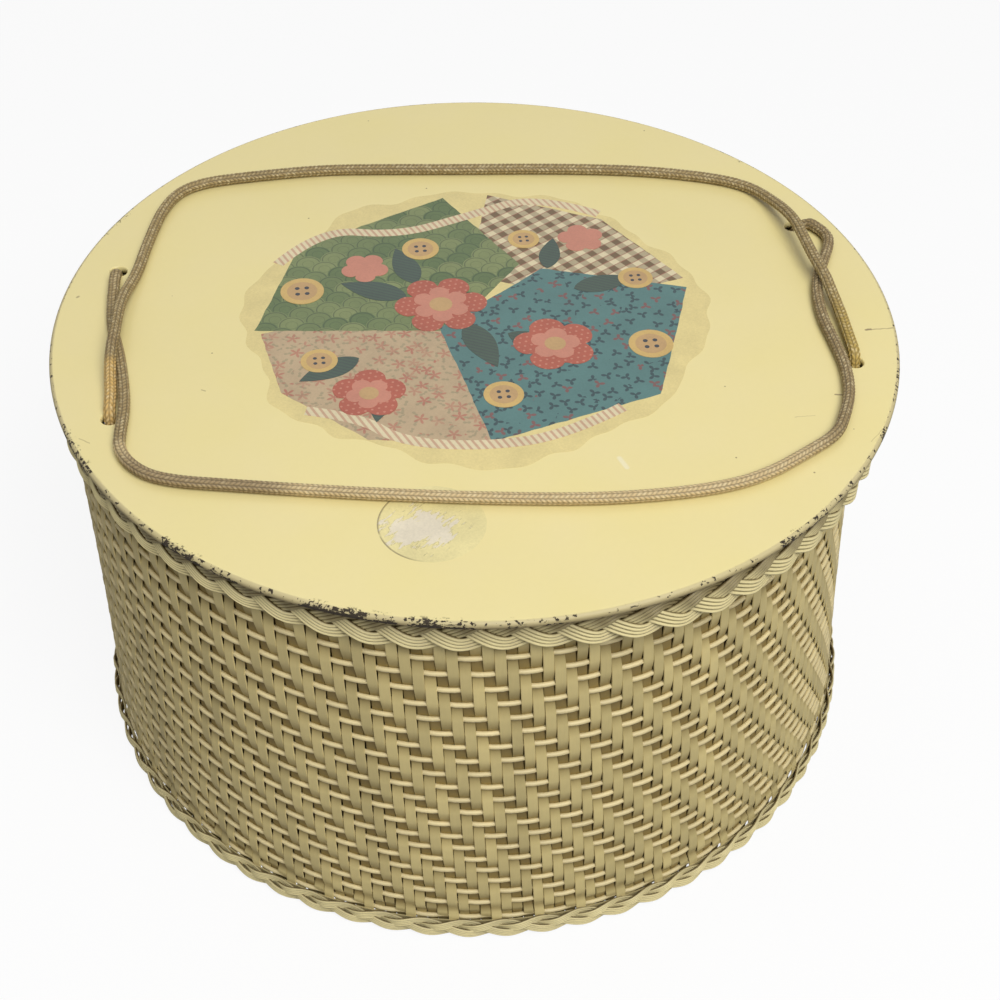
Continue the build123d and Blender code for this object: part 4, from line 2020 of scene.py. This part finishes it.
@dataclass
class CordLegs:
    """The cords' ends inside the wall: down from each hole, under a staple, to a knot."""

    cords: list[HandleCord]
    wall: WallForm
    fresh: Colour
    skin: float = 0.0014
    seat: float = 0.0003
    straight: float = 0.012
    staple_drop: float = 0.033
    knot_drop: float = 0.045
    knot_radius: float = 0.0044
    knot_length: float = 0.0085
    knot_core: float = 0.00165
    knot_swell: float = 0.00075
    knot_rise: float = 0.0018
    knot_steps: int = 96
    knot_share: float = 0.97
    tightness: float = 0.88
    neck: float = 0.0035
    stretch_from: float = 0.004
    stretch_to: float = 0.001

    def on_wall(self, hole: Vector, z: float, stand_off: float) -> Point:
        """The point that far inside the wall, level with a hole.

        Args:
            hole: Where the cord passes the hole.
            z: Height.
            stand_off: How far from the wall's inner face.

        Returns:
            The point.
        """
        angle = math.atan2(hole.y, hole.x - self.wall.rim_shift)
        radius = self.wall.radius(z) - self.skin - stand_off
        return (self.wall.centre(z) + radius * math.cos(angle), radius * math.sin(angle), z)

    def knot(self, name: str, middle: Point, braid: Braid, material: bpy.types.Material) -> bpy.types.Object:
        """Tie an overhand knot and pull it tight.

        Args:
            name: The piece's name.
            middle: Its middle.
            braid: The cord's braid.
            material: The cord's material.

        Returns:
            The knot.
        """
        line = []
        for step in range(self.knot_steps + 1):
            t = FULL_TURN * step / self.knot_steps * self.knot_share
            reach = self.knot_core + self.knot_swell * math.cos(3 * t)
            x, y = middle[0] + reach * math.cos(2 * t), middle[1] + reach * math.sin(2 * t)
            line.append(Vector((x, y, middle[2] + self.knot_rise * math.sin(3 * t))))
        tight = Braid(radius=braid.radius * self.tightness, step=braid.step)
        return braided_tube(name, evenly(line, braid.step), tight, material)

    def leg(self, cord: HandleCord, right: bool) -> bpy.types.Object:
        """Build one leg, from its hole down the inside of the wall to its knot, and the knot on the basket's
        body.

        Args:
            cord: The loop that it belongs to.
            right: Whether it hangs from the right hole.

        Returns:
            The knot.
        """
        place = f"{cord.side.name.lower()}_{'right' if right else 'left'}"
        hole, top = cord.hole(right), cord.lid.underside
        knot_z = top - self.knot_drop
        middle = self.on_wall(hole, knot_z, self.knot_radius + self.seat)
        knot_top = (middle[0], middle[1], knot_z + self.knot_length / 2)
        points = [
            (hole.x, hole.y, top),
            (hole.x, hole.y, top - self.straight),
            self.on_wall(hole, top - self.staple_drop, cord.braid.radius + self.seat),
            (knot_top[0], knot_top[1], knot_top[2] + self.neck),
            knot_top,
        ]
        line = evenly(smooth_route(place, points), cord.braid.step)
        name = f"cord_leg_{place}"
        material = CordFinish(name, length_of(line), self.fresh, self.fresh, self.fresh).material()
        leg = braided_tube(f"leg_{place}", line, cord.braid, material)
        knot = self.knot(f"knot_{place}", middle, cord.braid, material)
        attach(knot, Body.BASKET.value)
        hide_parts(name)
        length_of(line)
        2 * cord.braid.radius
        top - self.staple_drop + self.stretch_from
        top - self.stretch_to
        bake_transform(leg)
        return knot

    def build(self) -> None:
        """Build the four legs and their knots."""
        knots = [self.leg(cord, right) for cord in self.cords for right in (False, True)]
        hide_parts("cord_knots")


# ---------------------------------------------------------------- the studio


@dataclass(frozen=True)
class Lamp:
    """A square soft lamp: its place, power in watts and width in metres."""

    name: str
    at: Point
    power: float
    size: float


@dataclass
class Studio:
    """Camera, soft lights and a plain pale floor.

    The camera's distance and its aim on the lid's top are in radii of the lid. The floor is as
    grey as floor_grey to light, and to the camera lifted and mostly glowing, so that it is white.
    """

    frame_pixels: float = 1000.0
    sensor: float = 36.0
    focal_pixels: float = 1690.36
    pitch: float = math.radians(43.12)
    yaw: float = math.radians(-8.12)
    roll: float = math.radians(0.84)
    distance: float = 3.565
    aim: FlatPoint = (-0.028, -0.646)
    clip: Span = (0.01, 20.0)
    target: Point = (0.0, 0.0, 0.09)
    daylight: float = 0.21
    floor_size: float = 9.0
    floor_grey: float = 0.33
    floor_lift: float = 0.59
    floor_glow: float = 0.88
    lamps: tuple[Lamp, ...] = (
        Lamp("key", (0.31, -0.93, 1.43), 22.3, 0.9),
        Lamp("fill", (-1.1, -0.3, 1.0), 0.4, 1.2),
        Lamp("top", (-0.2, 0.5, 1.60), 3.4, 1.2),
    )

    def camera(self) -> None:
        """Place the camera."""
        level = math.cos(self.pitch)
        back = Vector((math.sin(self.yaw) * level, -math.cos(self.yaw) * level, math.sin(self.pitch)))
        target = Vector((self.aim[0] * LID_RADIUS, self.aim[1] * LID_RADIUS, LID_TOP))
        right = (-back).cross(Vector((0.0, 0.0, 1.0))).normalized()
        up = right.cross(-back)
        x = right * math.cos(self.roll) + up * math.sin(self.roll)
        y = up * math.cos(self.roll) - right * math.sin(self.roll)
        data = bpy.data.cameras.new("view")
        data.sensor_width = self.sensor
        data.lens = self.sensor * self.focal_pixels / self.frame_pixels
        data.clip_start, data.clip_end = self.clip
        camera = show("view", data)
        place = Matrix((x, y, back)).transposed().to_4x4()
        place.translation = target + back * (self.distance * LID_RADIUS)
        camera.matrix_world = place
        bpy.context.scene.camera = camera

    def light(self, lamp: Lamp) -> None:
        """Hang a lamp so that it faces the basket.

        Args:
            lamp: The lamp.
        """
        data = bpy.data.lights.new(lamp.name, "AREA")
        data.energy = lamp.power
        data.size = lamp.size
        hung = show(lamp.name, data)
        hung.location = lamp.at
        hung.rotation_euler = (Vector(self.target) - Vector(lamp.at)).to_track_quat("-Z", "Y").to_euler()

    def world(self) -> None:
        """Even light all round, and a white background."""
        world = bpy.data.worlds.new("studio")
        world.use_nodes = True
        bench = Bench(world.node_tree)
        backdrop = world.node_tree.nodes["Background"]
        rays = bench.add("ShaderNodeLightPath").outputs
        seen = bench.greater(Field(bench, rays["Is Camera Ray"]), Field(bench, rays["Is Glossy Ray"]))
        backdrop.inputs["Color"].default_value = (1.0, 1.0, 1.0, 1.0)
        bench.feed(backdrop.inputs["Strength"], seen * (1.0 - self.daylight) + self.daylight)
        bpy.context.scene.world = world

    def floor(self) -> None:
        """A wide plain floor."""
        build = bmesh.new()
        bmesh.ops.create_grid(build, x_segments=1, y_segments=1, size=self.floor_size)
        bench = ShaderBench("floor")
        rays = bench.result("ShaderNodeLightPath", output="Is Camera Ray")
        grey = rays * self.floor_lift + self.floor_grey
        plane = from_bmesh("floor", build, bench.finish(bench.vector(grey, grey, grey), 0.9))
        glow = bench.result("ShaderNodeEmission", {"Strength": 1.0})
        shaders = {0: rays * self.floor_glow, 1: bench.shader.outputs[0], 2: glow}
        out = next(node for node in bench.tree.nodes if node.type == "OUTPUT_MATERIAL")
        bench.feed(out.inputs["Surface"], bench.result("ShaderNodeMixShader", shaders))

    def build(self) -> None:
        """Build the studio."""
        self.camera()
        self.floor()
        self.world()
        for lamp in self.lamps:
            self.light(lamp)
        bpy.context.scene.view_settings.view_transform = "Standard"


# ---------------------------------------------------------------- the basket

# Where the loops lie on the lid, left hole to right hole: X, Y and lift in millimetres.
REAR_ROUTE: list[Point] = [
    (-130.4, 31.5, 0.3), (-130.7, 16.0, 0.0), (-130.0, 3.0, 0.0), (-127.6, -8.5, 0.0),
    (-125.6, -25.0, 0.0), (-124.6, -40.0, 0.0), (-125.6, -52.5, 0.0), (-126.0, -60.8, 0.0),
    (-122.8, -68.8, 0.0), (-116.0, -75.9, 0.0), (-106.0, -79.9, 0.0), (-94.0, -82.6, 0.0),
    (-67.7, -88.4, 0.0), (-36.0, -94.8, 0.0), (-4.0, -100.2, 0.0), (27.3, -104.2, 0.0),
    (53.4, -104.6, 0.0), (72.0, -102.8, 0.0), (86.0, -98.0, 0.0), (99.0, -90.4, 0.0),
    (111.8, -82.6, 0.0), (117.4, -72.4, 0.0), (121.9, -62.2, 0.0), (124.6, -48.5, 0.0),
    (124.6, -34.0, 0.0), (124.0, -20.0, 0.0), (125.6, -6.0, 0.0), (129.2, 6.4, 0.0),
    (134.6, 16.6, 0.0), (139.4, 26.6, 0.0), (140.0, 32.8, 0.0), (135.8, 40.0, 0.3),
]
FRONT_ROUTE: list[Point] = [
    (-129.4, -33.0, 0.6), (-129.9, -21.5, 2.3), (-129.4, -12.0, 4.2), (-128.3, -2.0, 4.9),
    (-127.6, 10.0, 4.5), (-126.2, 21.9, 2.2), (-124.0, 30.5, 0.7), (-121.8, 39.5, 0.0),
    (-119.6, 52.0, 0.0), (-116.6, 66.0, 0.0), (-113.2, 79.0, 0.0), (-107.4, 90.6, 0.0),
    (-97.5, 96.4, 0.0), (-82.0, 98.6, 0.0), (-51.0, 100.6, 0.0), (-27.0, 98.4, 0.0),
    (3.0, 94.9, 0.0), (33.0, 91.9, 0.0), (61.0, 88.2, 0.0), (80.0, 84.4, 0.0),
    (96.0, 79.8, 0.0), (110.0, 74.2, 0.0), (119.2, 67.2, 0.2), (123.8, 56.0, 1.8),
    (126.2, 44.3, 4.4), (127.6, 34.0, 5.6), (127.9, 22.0, 5.6), (128.5, 11.0, 5.1),
    (129.7, 0.5, 4.8), (130.5, -9.0, 2.4), (130.9, -20.0, 0.8), (130.2, -31.5, 0.5),
]


def cords(lid: Lid, wall: WallForm) -> None:
    """Lay the two loops on the lid, and hang their legs under it.

    Args:
        lid: The lid that they pass through.
        wall: The wall that the legs are stapled to.
    """
    # The rear cord: its front run faded and lighter as painted light, its side stretches in painted shade.
    # The front cord: its far run in painted shade, its gold and olive its own colours by the holes.
    fade_and_lighting, shaded, dim = (0.65, 0.49, 0.265), (0.36, 0.26, 0.12), (0.32, 0.228, 0.108)
    back, gold, olive = (0.36, 0.26, 0.115), (0.68, 0.44, 0.15), (0.50, 0.35, 0.09)
    rear_finish = CordFinish(
        "cord_rear", 0.498, fade_and_lighting, shaded, dim,
        left_stretch=(0.0, 0.105), right_stretch=(0.352, 0.505), darkened=(0.112, 0.170),
    )
    front_finish = CordFinish(
        "cord_front", 0.487, back, gold, olive,
        left_stretch=(0.0, 0.0275), right_stretch=(0.455, 0.52), darkened=(0.033, 0.040),
    )
    rear = HandleCord(
        "loop_rear", "handle_cord_rear", Body.REAR_HANDLE, Side.REAR, lid, wall, rear_finish, REAR_ROUTE
    )
    front = HandleCord(
        "loop_front", "handle_cord_front", Body.FRONT_HANDLE, Side.FRONT, lid, wall, front_finish, FRONT_ROUTE
    )
    for loop in (rear, front):
        loop.build()
    CordLegs([rear, front], wall, olive).build()
    log.info("cords laid")


def edges(wall: WallForm) -> None:
    """Plait the rim and the foot.

    Args:
        wall: The wall that they go round.
    """
    # The plait's second colour is painted shade, for the crevices between its cords and under the lid; the
    # first is the cords' fronts.
    straw = StrawFinish("plait_straw", light=(1.000, 0.870, 0.470), recess_shade=(0.110, 0.072, 0.020), level=0.96)
    PlaitedEdge(
        wall, straw, "rim_plait", ("rim_braid_1", "rim_braid_2", "rim_braid_3"),
        low=0.1498, high=0.1648, stand_off=0.0022, lid_shade=0.72, flare=0.0066, tuck=0.17,
    ).build()
    PlaitedEdge(
        wall, straw, "foot_plait", ("foot_braid_1", "foot_braid_2", "foot_braid_3"),
        low=0.0002, high=0.0082, stand_off=0.0020, cord_radius=0.00050, cord_pitch=0.00094, depth=0.00105,
    ).build()
    log.info("edges plaited")


def main() -> None:
    """Build the basket piece by piece."""
    Studio().build()
    log.info("studio ready")
    wall_form = WallForm()
    lid = Lid(
        PaintFinish(
            top=(0.800, 0.688, 0.328),
            # The edge colours are painted shade on the lid's rounded edge.
            edge=(0.56, 0.475, 0.250),
            shaded_low_edge=(0.31, 0.24, 0.112),
            board=(0.034, 0.024, 0.013),
        )
    )
    cords(lid, wall_form)
    lid.build()
    PaperPicture(lid.top).build()
    log.info("lid made")
    # Each finish's second colour is painted shade for the weave's recesses.
    straw = StrawFinish("straw_strips", light=(0.735, 0.602, 0.276), recess_shade=(0.270, 0.190, 0.058))
    round_straw = StrawFinish("straw_strands", light=(0.800, 0.670, 0.370), recess_shade=(0.470, 0.360, 0.155))
    WovenWall(wall_form, straw, round_straw).build()
    log.info("wall woven")
    edges(wall_form)
    dress("base_board", BoardFinish("base_board", (0.30, 0.19, 0.10)).material())
    dress("cord_staples", WireFinish().material())


if __name__ == "__main__":
    logging.basicConfig(level=logging.INFO, format="%(name)s: %(message)s")
    main()
